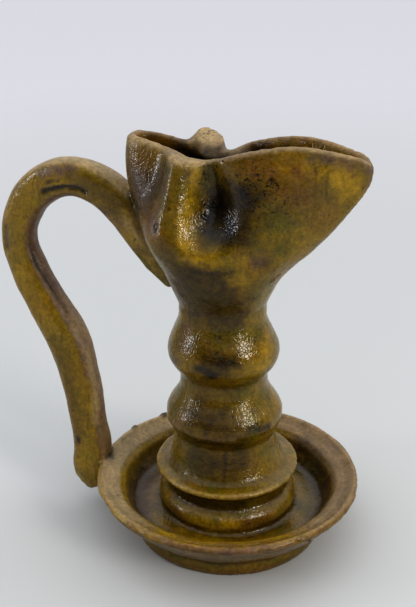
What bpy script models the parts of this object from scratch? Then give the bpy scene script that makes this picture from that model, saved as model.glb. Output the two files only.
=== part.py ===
"""Glazed ceramic oil lamp: a turned drip dish, a stem with two bulbs, a cup pinched into a spout
and a strap handle, all fired as one piece.

Metres, +Z up. The origin is the centre of the flat underside, the spout points along +X and the
handle stands behind it along -X.
"""
import math
from math import atan2, cos, hypot, pi, sin

import bmesh
import bpy
import numpy as np

MM = 0.001

# Turning
turn_steps = 60
weld_distance = 0.01 * MM

# Drip dish
foot_radius = 44.8 * MM
foot_height = 7.5 * MM
foot_groove = 1.0 * MM
dish_radius = 62.5 * MM
dish_height = 28.0 * MM
rim_roll = 1.9 * MM
ledge_width = 11.5 * MM
ledge_fall = 4.0 * MM
ledge_round = 1.0 * MM
gutter_slope = 6.5 * MM
floor_thickness = 12.3 * MM
floor_sag = 0.3 * MM

# Foot of the stem: a round boss under a thin flared collar
boss_radius = 32.8 * MM
boss_height = 11.0 * MM
recess_radius = 28.5 * MM
recess_height = 5.0 * MM
collar_radius = 33.8 * MM
collar_thickness = 2.6 * MM
collar_overhang = 4.0 * MM
skirt_radius = 26.6 * MM
skirt_height = 18.0 * MM

# Stem
lower_crease_radius = 23.3 * MM
lower_bulb_radius = 27.0 * MM
lower_bulb_height = 23.5 * MM
middle_neck_radius = 20.2 * MM
middle_neck_height = 6.0 * MM
upper_bulb_radius = 25.2 * MM
upper_bulb_height = 28.0 * MM
top_neck_radius = 19.5 * MM
top_neck_height = 5.0 * MM
bulb_lip = 0.37  # share of a bulb's height that is rolled under
stem_shift = 0.8 * MM  # the stem sits off the foot's centre by this much
lean = 0.022  # sideways drift of the stem for each unit of height
lean_direction = math.radians(200)

# Cup
cup_height = 72.5 * MM
cup_wall = 4.6 * MM
cup_floor = 7.0 * MM
spout_reach = 67.2 * MM
back_reach = 42.0 * MM
lobe_half_width = 18.3 * MM
back_half_width = 10.6 * MM
belly_half_width = 26.0 * MM
tip_drop = 5.4 * MM
waist_drop = 8.3 * MM
waist_depth = 8.0 * MM
waist_place = -2.0 * MM
waist_drift = 6.0 * MM
waist_width = 10.0 * MM
crest_rise = 1.6 * MM
ear_place = -10.0 * MM
ear_drift = 6.5 * MM
ear_reach = 10.5 * MM
ear_width = 17.0 * MM
near_ear_rise = 1.5 * MM
far_ear_rise = 7.6 * MM

# Strap handle
strap_width = 17.5 * MM
strap_thickness = 13.2 * MM
handle_reach = 109.2 * MM
strap_squareness = 2.8  # 2 is an ellipse, and higher is squarer
handle_drop = 16.7 * MM  # the arch's top below the cup's rim
handle_end_side = -11.0 * MM  # the lower end veers to one side of the dish
handle_bite = 1.5 * MM  # how far the strap sinks into the dish's rim
strap_sides = 14
strap_steps = 2

# Heights that follow from the sizes above
boss_top = floor_thickness + boss_height
collar_low = boss_top + recess_height + collar_overhang
collar_top = collar_low + collar_thickness
lower_crease = collar_top + skirt_height
middle_neck = lower_crease + lower_bulb_height
upper_crease = middle_neck + middle_neck_height
top_neck = upper_crease + upper_bulb_height
cup_base = top_neck + top_neck_height
rim_height = cup_base + cup_height
handle_top = rim_height - handle_drop
thrown_rim_radius = 0.6 * spout_reach


def ease(u):
    """Smooth step from 0 to 1."""
    u = min(max(u, 0.0), 1.0)
    return u * u * (3.0 - 2.0 * u)


def arc(centre_r, centre_z, radius_r, radius_z, start, end, count):
    """Points of an elliptical arc in the profile plane, angles in degrees from +R towards +Z."""
    angles = [math.radians(start + (end - start) * k / count) for k in range(count + 1)]
    return [(centre_r + radius_r * cos(a), centre_z + radius_z * sin(a)) for a in angles]


def bulb(low, height, crease_radius, belly_radius, neck_radius):
    """A drooping bulb from its upper neck down to the crease under its rolled lip."""
    belly = low + bulb_lip * height
    top = low + height
    shoulder = [0.0, 0.28, 0.54, 0.78]
    points = [(neck_radius + (belly_radius - neck_radius) * ease(u) ** 0.95, top + (belly - top) * u)
              for u in shoulder]
    swell = belly_radius - crease_radius
    points += [(crease_radius + swell * (1.0 - u ** 1.7), belly - (belly - low) * u ** 0.85)
               for u in (0.0, 0.35, 0.68, 0.90, 1.0)]
    return points


def stem_profile():
    """Radius and height from the cup's base down to the floor of the dish."""
    points = [(top_neck_radius, cup_base)]
    points += bulb(upper_crease, upper_bulb_height, middle_neck_radius, upper_bulb_radius,
                   top_neck_radius)
    points += bulb(lower_crease, lower_bulb_height, lower_crease_radius, lower_bulb_radius,
                   middle_neck_radius)
    flare = skirt_radius - lower_crease_radius
    points += [(lower_crease_radius + flare * u ** 1.6, lower_crease - skirt_height * 0.86 * u)
               for u in (0.4, 0.75, 1.0)]
    edge = collar_thickness / 2
    points += [(0.7 * skirt_radius + 0.3 * collar_radius, collar_top + 0.27 * collar_thickness)]
    points += arc(collar_radius - edge, collar_low + edge, edge, edge, 80, -60, 2)
    points += [(0.8 * recess_radius + 0.2 * collar_radius, collar_low - 0.7 * collar_overhang),
               (recess_radius, boss_top + recess_height * 0.5)]
    points += arc(boss_radius - boss_height / 2, floor_thickness + boss_height / 2,
                  boss_height / 2, boss_height / 2, 75, -70, 4)
    return points


def dish_profile():
    """Radius and height from the gutter's floor out over the rim and down to the foot."""
    ledge_inner = dish_radius - ledge_width
    ledge_low = dish_height - ledge_fall
    gutter_radius = ledge_inner - gutter_slope
    points = [((boss_radius + gutter_radius) / 2, floor_thickness - floor_sag),
              (gutter_radius, floor_thickness),
              (gutter_radius + 0.42 * gutter_slope, 0.7 * floor_thickness + 0.3 * ledge_low),
              (ledge_inner - 0.9 * ledge_round, ledge_low - 1.6 * ledge_round),
              (ledge_inner + 0.7 * ledge_round, ledge_low + 0.1 * ledge_round),
              (dish_radius - 0.45 * ledge_width, dish_height - 0.46 * ledge_fall)]
    points += arc(dish_radius - rim_roll, dish_height - rim_roll, rim_roll, rim_roll, 100, -45, 3)
    wall_top = dish_height - 2.2 * rim_roll
    run = dish_radius - rim_roll - foot_radius
    rise = wall_top - foot_height
    points += [(foot_radius + run * u, foot_height + rise * u ** 1.25) for u in (0.65, 0.3)]
    points += [(foot_radius - 0.3 * foot_groove, foot_height),
               (foot_radius + 0.7 * foot_groove, 0.72 * foot_height),
               (foot_radius + 0.6 * foot_groove, 0.2 * foot_height),
               (foot_radius, 0.0)]
    return points


# Pinched cup. It is thrown as a plain cone, and the pinch moves each of its rings to an outline.
# The stations are levels from 0 (base) to 1 (rim), with the cup's reach and width at each.
level_stations = (0.0, 0.2, 0.43, 0.7, 0.87, 1.0)
spout_shares = (0.395, 0.621, 0.832, 0.942, 1.0)
back_shares = (0.60, 0.79, 0.985, 1.01, 0.975)
outline_samples = 721
bend_length = 6.0 * MM  # length that a bend of one radian counts for


def through(stations, values, at):
    """A smooth monotone curve through a few stations."""
    x = np.asarray(stations, float)
    y = np.asarray(values, float)
    h = np.diff(x)
    d = np.diff(y) / h
    m = np.empty_like(y)
    m[0], m[-1] = d[0], d[-1]
    for k in range(1, len(y) - 1):
        same_way = d[k - 1] * d[k] > 0
        m[k] = 2 * d[k - 1] * d[k] / (d[k - 1] + d[k]) if same_way else 0.0
    at = np.clip(np.asarray(at, float), x[0], x[-1])
    k = np.clip(np.searchsorted(x, at, side="right") - 1, 0, len(h) - 1)
    u = (at - x[k]) / h[k]
    return ((1 + 2 * u) * (1 - u) ** 2 * y[k] + u * (1 - u) ** 2 * h[k] * m[k]
            + u * u * (3 - 2 * u) * y[k + 1] + u * u * (u - 1) * h[k] * m[k + 1])


def along(x, y):
    """Share of the way along a line of points, from 0 to 1, where bends count as extra length."""
    dx, dy = np.diff(x), np.diff(y)
    turns = np.abs(np.diff(np.unwrap(np.arctan2(dy, dx))))
    steps = np.hypot(dx, dy) + bend_length * np.concatenate(([0.0], turns))
    way = np.concatenate(([0.0], np.cumsum(steps)))
    return way / way[-1]


def half_outline(level, ears):
    """Outer half outline of the cup at a level, from the spout's tip round to the back."""
    def at_level(*values):
        return float(through(level_stations, values, level))

    neck = top_neck_radius
    front = at_level(neck, *[share * spout_reach for share in spout_shares])
    back = at_level(neck, *[share * back_reach for share in back_shares])
    wide = at_level(neck, 0.94 * belly_half_width, belly_half_width,
                    0.55 * belly_half_width + 0.45 * lobe_half_width,
                    0.2 * belly_half_width + 0.8 * lobe_half_width, lobe_half_width)
    narrow = at_level(neck, 0.94 * belly_half_width, 1.02 * belly_half_width,
                      0.4 * belly_half_width + 0.6 * back_half_width,
                      0.12 * belly_half_width + 0.88 * back_half_width, back_half_width)
    beak_fullness = at_level(2.0, 1.9, 1.5, 1.15, 1.05, 1.0)
    beak_taper = at_level(0.5, 0.5, 0.53, 0.57, 0.59, 0.6)
    back_fullness = at_level(2.0, 2.0, 2.1, 2.7, 3.3, 3.6)
    pinch = at_level(0.0, 0.0, 0.22, 1.1, 1.12, 1.0)
    ear = at_level(0.0, 0.02, 0.45, 0.95, 1.0, 1.0) * ears
    ear_middle = ear_place - ear_drift * at_level(1.0, 1.0, 1.0, 0.45, 0.15, 0.0)
    ear_half_width = 0.46 * ear_width * at_level(1.9, 1.9, 1.7, 1.25, 1.08, 1.0)

    a = np.linspace(0.0, pi, outline_samples)
    x = np.where(a < pi / 2, front * np.cos(a), back * np.cos(a))
    u = np.clip(x / front, 0.0, 1.0)
    v = np.clip(-x / back, 0.0, 1.0)
    y_front = wide * (1.0 - u ** beak_fullness) ** beak_taper
    y_back = narrow * (1.0 - v ** back_fullness) ** (1.0 / back_fullness)
    waist_middle = waist_place + waist_drift * at_level(1.0, 1.0, 1.0, 0.85, 0.4, 0.0)
    waist_half_width = 0.55 * waist_width * at_level(1.9, 1.9, 1.8, 1.65, 1.3, 1.0)
    blend = np.clip((x - waist_middle) / waist_width + 0.5, 0.0, 1.0)
    blend = blend * blend * (3.0 - 2.0 * blend)
    y = y_back + (y_front - y_back) * blend
    dent = waist_depth * pinch * np.exp(-((x - waist_middle) / waist_half_width) ** 2)
    bump = ear * ear_reach * np.exp(-(np.abs(x - ear_middle) / ear_half_width) ** 2.6)
    y = np.maximum(y - dent, np.minimum(y, 0.85 * back_half_width)) + bump
    y[0] = y[-1] = 0.0
    return x, y, bump / ear_reach


def inner_line(x, y, inset):
    """The outline moved inwards by the wall, cut off where its two sides meet."""
    dx, dy = np.gradient(x), np.gradient(y)
    length = np.hypot(dx, dy)
    x_in, y_in = x - inset * dy / length, y + inset * dx / length
    clear = np.flatnonzero(y_in > 0.0)
    first, last = clear[0], clear[-1]
    x_in, y_in = x_in[first:last + 1], y_in[first:last + 1]
    x_in = np.concatenate(([x_in[0]], x_in, [x_in[-1]]))
    y_in = np.concatenate(([0.0], y_in, [0.0]))
    return x_in, y_in


def rim_rise(x):
    """Height of the rim above the plain cup's rim, at a place along the spout's direction."""
    stations = (-back_reach, -0.64 * back_reach, -0.36 * back_reach, waist_place - 0.3 * waist_width,
                waist_place + 0.9 * waist_width, 0.33 * spout_reach, 0.56 * spout_reach,
                0.77 * spout_reach, 0.92 * spout_reach, spout_reach)
    rises = (0.0, -0.29 * waist_drop, -0.72 * waist_drop, -waist_drop, -0.53 * waist_drop,
             -0.07 * waist_drop, crest_rise, 0.0, -0.42 * tip_drop, -tip_drop)
    return through(stations, rises, x)


class PinchedCup:
    """Where the pinch moves a point of the thrown cone."""

    def __init__(self, wall, ears):
        self.wall = wall
        self.ears = ears
        self.lines = {}
        x, y, _ = half_outline(1.0, ears)
        self.rim_x = x
        self.rim_share = along(x, y)

    def line(self, level):
        key = round(level, 4)
        if key not in self.lines:
            x, y, bump = half_outline(level, self.ears)
            plain_x, plain_y, _ = half_outline(level, 0.0)
            x_in, y_in = inner_line(plain_x, plain_y, self.wall)
            self.lines[key] = (x, y, bump, along(x, y), along(plain_x, plain_y), x_in, y_in,
                               along(x_in, y_in))
        return self.lines[key]

    def place(self, angle, level, layer, share_out):
        """layer is 0 on the outside and 1 on the inside, share_out runs 0 to 1 over the cup's floor."""
        way = abs(angle) / pi
        side = -1.0 if angle < 0.0 else 1.0
        x, y, bump, outer_way, plain_way, x_in, y_in, inner_way = self.line(min(level, 1.0))
        sample = np.interp(way, outer_way, np.arange(len(x)))
        index = np.arange(len(x))
        outer = np.array((np.interp(sample, index, x), np.interp(sample, index, y)))
        inner_share = np.interp(sample, index, plain_way)
        inner = np.array((np.interp(inner_share, inner_way, x_in),
                          np.interp(inner_share, inner_way, y_in))) * share_out
        spot = outer + (inner - outer) * layer
        rim_x = np.interp(way, self.rim_share, self.rim_x)
        height = cup_height + float(rim_rise(rim_x))
        ear_rise = near_ear_rise if side < 0.0 else far_ear_rise
        knob = ease(1.25 * float(np.interp(sample, index, bump)))
        lift = ear_rise * knob * (1.0 - 0.8 * layer) * ease((level - 0.7) / 0.3)
        return spot[0], side * spot[1], cup_base + level * height + lift


def thrown_radius(level):
    """Outer radius of the cone that the cup is thrown as."""
    return top_neck_radius + (thrown_rim_radius - top_neck_radius) * level


def pinch(mesh, cup):
    """Moves the thrown cone's points, those above the cup's base, to the pinched cup."""
    for vertex in mesh.vertices:
        x, y, z = vertex.co
        level = (z - cup_base) / cup_height
        if level < 1e-4:
            continue
        radius = hypot(x, y)
        inner_radius = thrown_radius(level) - cup.wall
        layer = min(max((thrown_radius(level) - radius) / cup.wall, 0.0), 1.0)
        share_out = min(radius / inner_radius, 1.0) if layer >= 1.0 else 1.0
        angle = atan2(y, x) if radius > 1e-7 else 0.0
        vertex.co = cup.place(angle, level, layer, share_out)


def lean_over(mesh):
    """Moves everything above the gutter's floor sideways, as the soft clay leaned."""
    for vertex in mesh.vertices:
        z = vertex.co.z
        drift = lean * max(z - floor_thickness, 0.0)
        drift += stem_shift * ease((z - collar_top) / (0.6 * skirt_height))
        vertex.co.x += drift * cos(lean_direction)
        vertex.co.y += drift * sin(lean_direction)


def turned(name, profile, collection):
    """Turns a profile, a list of radius and height that runs down its outer side, into a mesh object."""
    mesh = bpy.data.meshes.new(name + " profile")
    mesh.from_pydata([(radius, 0.0, height) for radius, height in profile],
                     [(k, k + 1) for k in range(len(profile) - 1)], [])
    guide = bpy.data.objects.new(name + " profile", mesh)
    collection.objects.link(guide)
    screw = guide.modifiers.new("Turn", "SCREW")
    screw.steps = screw.render_steps = turn_steps
    screw.use_merge_vertices = True
    screw.merge_threshold = weld_distance
    screw.use_smooth_shade = True
    solid = evaluated_copy(guide, name, collection)
    bpy.data.objects.remove(guide)
    return solid


def evaluated_copy(source, name, collection):
    """A plain mesh object with the evaluated shape of a curve or of a mesh with modifiers."""
    graph = bpy.context.evaluated_depsgraph_get()
    graph.update()
    mesh = bpy.data.meshes.new_from_object(source.evaluated_get(graph))
    mesh.name = name
    copy = bpy.data.objects.new(name, mesh)
    copy.matrix_world = source.matrix_world
    collection.objects.link(copy)
    return copy


def cup_profile():
    """The thrown cup from the middle of its floor up the inside, over the lip and down the outside."""
    floor_level = cup_floor / cup_height

    def wall_point(level, inset):
        return thrown_radius(level) - inset, cup_base + level * cup_height

    floor_radius = thrown_radius(floor_level) - cup_wall
    inside_levels = (0.24, 0.42, 0.60, 0.78, 0.92)
    outside_levels = (0.95, 0.86, 0.76, 0.66, 0.56, 0.46, 0.36, 0.26, 0.17, 0.08)
    points = [(0.0, cup_base + cup_floor),
              (floor_radius * 0.55, cup_base + cup_floor),
              wall_point(floor_level * 1.35, cup_wall)]
    points += [wall_point(level, cup_wall) for level in inside_levels]
    half = cup_wall / 2
    middle = thrown_radius(1.0) - half
    points += arc(middle, cup_base + cup_height - half, half * 0.98, half, 165, 15, 3)
    points += [wall_point(level, 0.0) for level in outside_levels]
    return points


def build_body(collection):
    """Dish, stem and cup: one thrown piece, pinched and leaning."""
    profile = cup_profile() + stem_profile() + dish_profile() + [(0.0, 0.0)]
    body = turned("oil_lamp", profile, collection)
    pinch(body.data, PinchedCup(cup_wall, 1.0))
    lean_over(body.data)
    return body


def build_core(collection):
    """The space inside the middle of the cup's wall, which keeps the handle out of the cup."""
    half = cup_wall / 2
    levels = (1.3, 1.0, 0.92, 0.8, 0.65, 0.5, 0.35, 0.2, 0.1)
    profile = [(0.0, cup_base + levels[0] * cup_height)]
    profile += [(thrown_radius(level) - half, cup_base + level * cup_height) for level in levels]
    profile += [(0.0, cup_base + cup_floor / 2)]
    core = turned("cup core", profile, collection)
    pinch(core.data, PinchedCup(half, 0.0))
    lean_over(core.data)
    return core


def strap_route():
    """Middle line of the strap from the cup's back over the arch and down to the dish's rim.

    Each place is a share of the way out from the cup's back or the dish's rim, a share of the way
    up from the cup's base or the dish's rim, and the strap's size there against its named size.
    """
    middle_reach = handle_reach - strap_thickness / 2
    middle_top = handle_top - strap_thickness / 2
    seat = math.sqrt(dish_radius ** 2 - handle_end_side ** 2) + 0.54 * strap_thickness - handle_bite
    cup_side = ((-0.345, 0.124, 0.66), (-0.215, 0.321, 0.94), (-0.06, 0.579, 1.04), (0.09, 0.799, 1.06),
                (0.27, 0.949, 1.04), (0.52, 1.0, 1.02), (0.78, 0.860, 1.0))
    dish_side = ((0.893, 0.865, 0.97), (1.0, 0.767, 0.95), (0.893, 0.651, 1.04), (0.619, 0.525, 1.12),
                 (0.350, 0.417, 1.20), (0.172, 0.287, 1.12), (0.053, 0.138, 1.03), (0.012, 0.018, 1.08),
                 (0.0, -0.067, 1.14), (-0.13, -0.120, 0.88))
    route = [(-(back_reach + out * (middle_reach - back_reach)), 0.0,
              cup_base + up * (middle_top - cup_base), size) for out, up, size in cup_side]
    route += [(-(seat + out * (middle_reach - seat)), handle_end_side * ease(1.0 - (up + 0.2) / 0.95),
               dish_height + up * (middle_top - dish_height), size) for out, up, size in dish_side]
    return route


def build_strap(collection, core):
    """The strap handle, a flattened bar swept along its route, trimmed to the cup's wall."""
    section = bpy.data.curves.new("strap section", "CURVE")
    section.dimensions = "2D"
    spline = section.splines.new("POLY")
    spline.points.add(strap_sides - 1)
    for k, point in enumerate(spline.points):
        a = 2 * pi * k / strap_sides
        size = abs(cos(a)) ** strap_squareness + abs(sin(a)) ** strap_squareness
        roundness = size ** (-1 / strap_squareness) / 2
        point.co = (strap_thickness * roundness * cos(a), strap_width * roundness * sin(a), 0.0, 1.0)
    spline.use_cyclic_u = True
    section_guide = bpy.data.objects.new("strap section", section)
    collection.objects.link(section_guide)

    curve = bpy.data.curves.new("strap", "CURVE")
    curve.dimensions = "3D"
    curve.twist_mode = "MINIMUM"
    curve.bevel_mode = "OBJECT"
    curve.bevel_object = section_guide
    curve.use_fill_caps = True
    curve.resolution_u = strap_steps
    spline = curve.splines.new("BEZIER")
    route = strap_route()
    spline.bezier_points.add(len(route) - 1)
    for point, (x, y, z, size) in zip(spline.bezier_points, route):
        point.co = (x, y, z)
        point.radius = size
        point.handle_left_type = point.handle_right_type = "AUTO"
    guide = bpy.data.objects.new("strap guide", curve)
    collection.objects.link(guide)
    strap = evaluated_copy(guide, "strap", collection)
    bpy.data.objects.remove(guide)
    bpy.data.objects.remove(section_guide)
    shape = bmesh.new()
    shape.from_mesh(strap.data)
    bmesh.ops.remove_doubles(shape, verts=shape.verts, dist=weld_distance)
    bmesh.ops.recalc_face_normals(shape, faces=shape.faces)
    shape.to_mesh(strap.data)
    shape.free()
    lean_over(strap.data)
    trim = strap.modifiers.new("Clear of the cup", "BOOLEAN")
    trim.operation = "DIFFERENCE"
    trim.solver = "EXACT"
    trim.object = core
    return strap


def as_cutter(piece):
    """Marks a helper solid, which isn't part of the lamp."""
    piece.hide_render = True
    piece.display_type = "WIRE"


def glaze():
    """Amber lead glaze over clay."""
    material = bpy.data.materials.new("amber glaze")
    material.use_nodes = True
    shader = material.node_tree.nodes["Principled BSDF"]
    shader.inputs["Base Color"].default_value = (0.165, 0.095, 0.018, 1.0)
    shader.inputs["Roughness"].default_value = 0.22
    shader.inputs["Metallic"].default_value = 0.0
    return material


def main():
    for old in list(bpy.data.objects):
        bpy.data.objects.remove(old)
    lamp = bpy.data.collections.new("Oil lamp")
    cutters = bpy.data.collections.new("Cutters")
    bpy.context.scene.collection.children.link(lamp)
    bpy.context.scene.collection.children.link(cutters)

    body = build_body(lamp)
    core = build_core(cutters)
    strap = build_strap(cutters, core)
    as_cutter(core)
    as_cutter(strap)
    join = body.modifiers.new("Join handle", "BOOLEAN")
    join.operation = "UNION"
    join.solver = "EXACT"
    join.object = strap
    body.data.materials.clear()
    body.data.materials.append(glaze())
    body.data.shade_smooth()
    body.data.set_sharp_from_angle(angle=math.radians(50))


main()
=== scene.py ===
import math

import bmesh
import bpy
import numpy as np
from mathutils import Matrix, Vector, noise


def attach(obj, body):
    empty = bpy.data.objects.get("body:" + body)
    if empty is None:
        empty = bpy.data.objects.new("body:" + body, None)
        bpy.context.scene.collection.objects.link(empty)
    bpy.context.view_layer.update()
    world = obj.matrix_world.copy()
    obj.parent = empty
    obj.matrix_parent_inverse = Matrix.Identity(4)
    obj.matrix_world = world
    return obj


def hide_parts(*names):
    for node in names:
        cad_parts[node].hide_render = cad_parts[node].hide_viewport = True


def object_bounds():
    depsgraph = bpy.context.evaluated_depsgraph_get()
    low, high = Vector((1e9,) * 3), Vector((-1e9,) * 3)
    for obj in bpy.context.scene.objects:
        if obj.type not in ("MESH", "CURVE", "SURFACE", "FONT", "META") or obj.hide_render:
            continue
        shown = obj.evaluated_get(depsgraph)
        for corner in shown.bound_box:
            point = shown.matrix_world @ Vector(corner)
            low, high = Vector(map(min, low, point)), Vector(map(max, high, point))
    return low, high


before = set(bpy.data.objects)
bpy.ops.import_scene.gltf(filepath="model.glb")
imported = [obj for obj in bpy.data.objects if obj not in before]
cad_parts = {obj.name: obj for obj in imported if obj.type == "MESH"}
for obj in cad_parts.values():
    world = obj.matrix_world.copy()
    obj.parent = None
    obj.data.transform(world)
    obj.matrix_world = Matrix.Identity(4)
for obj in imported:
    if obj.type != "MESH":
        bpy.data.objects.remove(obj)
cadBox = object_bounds()
mm = 0.001

# Sizes of the lamp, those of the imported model
dish = {"footRadius": 44.8 * mm, "footHeight": 7.5 * mm, "footGroove": 1.0 * mm, "radius": 62.5 * mm,
        "height": 28.0 * mm, "rimRoll": 1.9 * mm, "ledgeWidth": 11.5 * mm, "ledgeFall": 4.0 * mm,
        "ledgeRound": 1.0 * mm, "gutterSlope": 6.5 * mm, "floor": 12.3 * mm, "floorSag": 0.3 * mm}
stem = {"bossRadius": 32.8 * mm, "bossHeight": 11.0 * mm, "recessRadius": 28.5 * mm, "recessHeight": 5.0 * mm,
        "collarRadius": 33.8 * mm, "collarThickness": 2.6 * mm, "collarOverhang": 4.0 * mm,
        "skirtRadius": 26.6 * mm, "skirtHeight": 18.0 * mm, "lowerCrease": 23.3 * mm,
        "lowerBulb": 27.0 * mm, "lowerBulbHeight": 23.5 * mm, "middleNeck": 20.2 * mm,
        "middleNeckHeight": 6.0 * mm, "upperBulb": 25.2 * mm, "upperBulbHeight": 28.0 * mm,
        "topNeck": 19.5 * mm, "topNeckHeight": 5.0 * mm, "lip": 0.37, "shift": 0.8 * mm,
        "lean": 0.022, "leanDirection": math.radians(200)}
cup = {"height": 72.5 * mm, "wall": 4.6 * mm, "floor": 7.0 * mm, "spoutReach": 67.2 * mm,
       "backReach": 42.0 * mm, "lobeHalfWidth": 18.3 * mm, "backHalfWidth": 10.6 * mm,
       "bellyHalfWidth": 26.0 * mm, "tipDrop": 5.4 * mm, "waistDrop": 8.3 * mm, "waistDepth": 8.0 * mm,
       "waistPlace": -2.0 * mm, "waistDrift": 6.0 * mm, "waistWidth": 10.0 * mm, "crestRise": 1.6 * mm,
       "earPlace": -10.0 * mm, "earDrift": 6.5 * mm, "earReach": 10.5 * mm, "earWidth": 17.0 * mm,
       "nearEarRise": 1.5 * mm, "farEarRise": 7.6 * mm, "bendLength": 6.0 * mm, "samples": 721}
strap = {"width": 17.5 * mm, "thickness": 13.2 * mm, "reach": 109.2 * mm, "squareness": 2.8,
         "drop": 16.7 * mm, "endSide": -11.0 * mm, "bite": 1.5 * mm, "sides": 36, "steps": 12}
turning = {"steps": 300, "spacing": 1.1 * mm, "coreSteps": 120, "weld": 0.01 * mm}

bossTop = dish["floor"] + stem["bossHeight"]
collarLow = bossTop + stem["recessHeight"] + stem["collarOverhang"]
collarTop = collarLow + stem["collarThickness"]
lowerCreaseZ = collarTop + stem["skirtHeight"]
middleNeckZ = lowerCreaseZ + stem["lowerBulbHeight"]
upperCreaseZ = middleNeckZ + stem["middleNeckHeight"]
topNeckZ = upperCreaseZ + stem["upperBulbHeight"]
cupBase = topNeckZ + stem["topNeckHeight"]
rimHeight = cupBase + cup["height"]
handleTop = rimHeight - strap["drop"]
thrownRim = 0.6 * cup["spoutReach"]
ledgeInner = dish["radius"] - dish["ledgeWidth"]
dishClear = dish["height"] + 2 * mm  # nothing of the dish stands above this


def ease(u):
    u = np.clip(u, 0.0, 1.0)
    return u * u * (3.0 - 2.0 * u)


def arc(centreR, centreZ, radiusR, radiusZ, start, end, count):
    angles = np.radians(np.linspace(start, end, count + 1))
    return list(zip(centreR + radiusR * np.cos(angles), centreZ + radiusZ * np.sin(angles)))


def softLine(points, spacing):  # centripetal spline through the points, at an even spacing
    p = np.array(points, float)
    ends = np.vstack([2 * p[0] - p[1], p, 2 * p[-1] - p[-2]])
    line = [p[0]]
    for k in range(1, len(ends) - 2):
        p0, p1, p2, p3 = ends[k - 1:k + 3]
        t1 = np.sqrt(max(np.linalg.norm(p1 - p0), 1e-7))
        t2 = t1 + np.sqrt(max(np.linalg.norm(p2 - p1), 1e-7))
        t3 = t2 + np.sqrt(max(np.linalg.norm(p3 - p2), 1e-7))
        count = max(1, int(round(np.linalg.norm(p2 - p1) / spacing)))
        for t in np.linspace(t1, t2, count + 1)[1:]:
            a1 = (t1 - t) / t1 * p0 + t / t1 * p1
            a2 = (t2 - t) / (t2 - t1) * p1 + (t - t1) / (t2 - t1) * p2
            a3 = (t3 - t) / (t3 - t2) * p2 + (t - t2) / (t3 - t2) * p3
            b1 = (t2 - t) / t2 * a1 + t / t2 * a2
            b2 = (t3 - t) / (t3 - t1) * a2 + (t - t1) / (t3 - t1) * a3
            line.append((t2 - t) / (t2 - t1) * b1 + (t - t1) / (t2 - t1) * b2)
    return [tuple(point) for point in line]


def bulb(low, height, crease, belly, neck):  # a drooping bulb from its neck down to its crease
    bellyZ = low + stem["lip"] * height
    top = low + height
    down = np.linspace(0.0, 1.0, 13)[:-1]
    points = [(neck + (belly - neck) * ease(u) ** 0.95, top + (bellyZ - top) * u) for u in down]
    under = np.array((0.0, 0.18, 0.36, 0.52, 0.68, 0.8, 0.9, 1.0))
    points += [(crease + (belly - crease) * (1.0 - u ** 1.7), bellyZ - (bellyZ - low) * u ** 0.85) for u in under]
    return points


def stemProfile():
    points = [(stem["topNeck"], cupBase)]
    points += bulb(upperCreaseZ, stem["upperBulbHeight"], stem["middleNeck"], stem["upperBulb"], stem["topNeck"])
    points += bulb(lowerCreaseZ, stem["lowerBulbHeight"], stem["lowerCrease"], stem["lowerBulb"], stem["middleNeck"])
    flare = stem["skirtRadius"] - stem["lowerCrease"]
    points += [(stem["lowerCrease"] + flare * u ** 1.6, lowerCreaseZ - stem["skirtHeight"] * 0.86 * u)
               for u in (0.2, 0.4, 0.6, 0.75, 0.9, 1.0)]
    edge = stem["collarThickness"] / 2
    points += [(0.7 * stem["skirtRadius"] + 0.3 * stem["collarRadius"], collarTop + 0.27 * stem["collarThickness"])]
    points += arc(stem["collarRadius"] - edge, collarLow + edge, edge, edge, 80, -60, 5)
    points += [(0.8 * stem["recessRadius"] + 0.2 * stem["collarRadius"], collarLow - 0.7 * stem["collarOverhang"]),
               (stem["recessRadius"], bossTop + stem["recessHeight"] * 0.5)]
    half = stem["bossHeight"] / 2
    return points + arc(stem["bossRadius"] - half, dish["floor"] + half, half, half, 75, -70, 9)


def dishProfile():
    ledgeLow = dish["height"] - dish["ledgeFall"]
    gutter = ledgeInner - dish["gutterSlope"]
    points = [((stem["bossRadius"] + gutter) / 2, dish["floor"] - dish["floorSag"]),
              (gutter, dish["floor"]),
              (gutter + 0.42 * dish["gutterSlope"], 0.7 * dish["floor"] + 0.3 * ledgeLow),
              (ledgeInner - 0.9 * dish["ledgeRound"], ledgeLow - 1.6 * dish["ledgeRound"]),
              (ledgeInner + 0.7 * dish["ledgeRound"], ledgeLow + 0.1 * dish["ledgeRound"]),
              (dish["radius"] - 0.45 * dish["ledgeWidth"], dish["height"] - 0.46 * dish["ledgeFall"])]
    points += arc(dish["radius"] - dish["rimRoll"], dish["height"] - dish["rimRoll"], dish["rimRoll"],
                  dish["rimRoll"], 100, -45, 6)
    wallTop = dish["height"] - 2.2 * dish["rimRoll"]
    run = dish["radius"] - dish["rimRoll"] - dish["footRadius"]
    rise = wallTop - dish["footHeight"]
    points += [(dish["footRadius"] + run * u, dish["footHeight"] + rise * u ** 1.25)
               for u in (0.82, 0.65, 0.47, 0.3, 0.14)]
    points += [(dish["footRadius"] - 0.3 * dish["footGroove"], dish["footHeight"]),
               (dish["footRadius"] + 0.7 * dish["footGroove"], 0.72 * dish["footHeight"]),
               (dish["footRadius"] + 0.6 * dish["footGroove"], 0.2 * dish["footHeight"])]
    return points


def thrownRadius(level):
    return stem["topNeck"] + (thrownRim - stem["topNeck"]) * level


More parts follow.
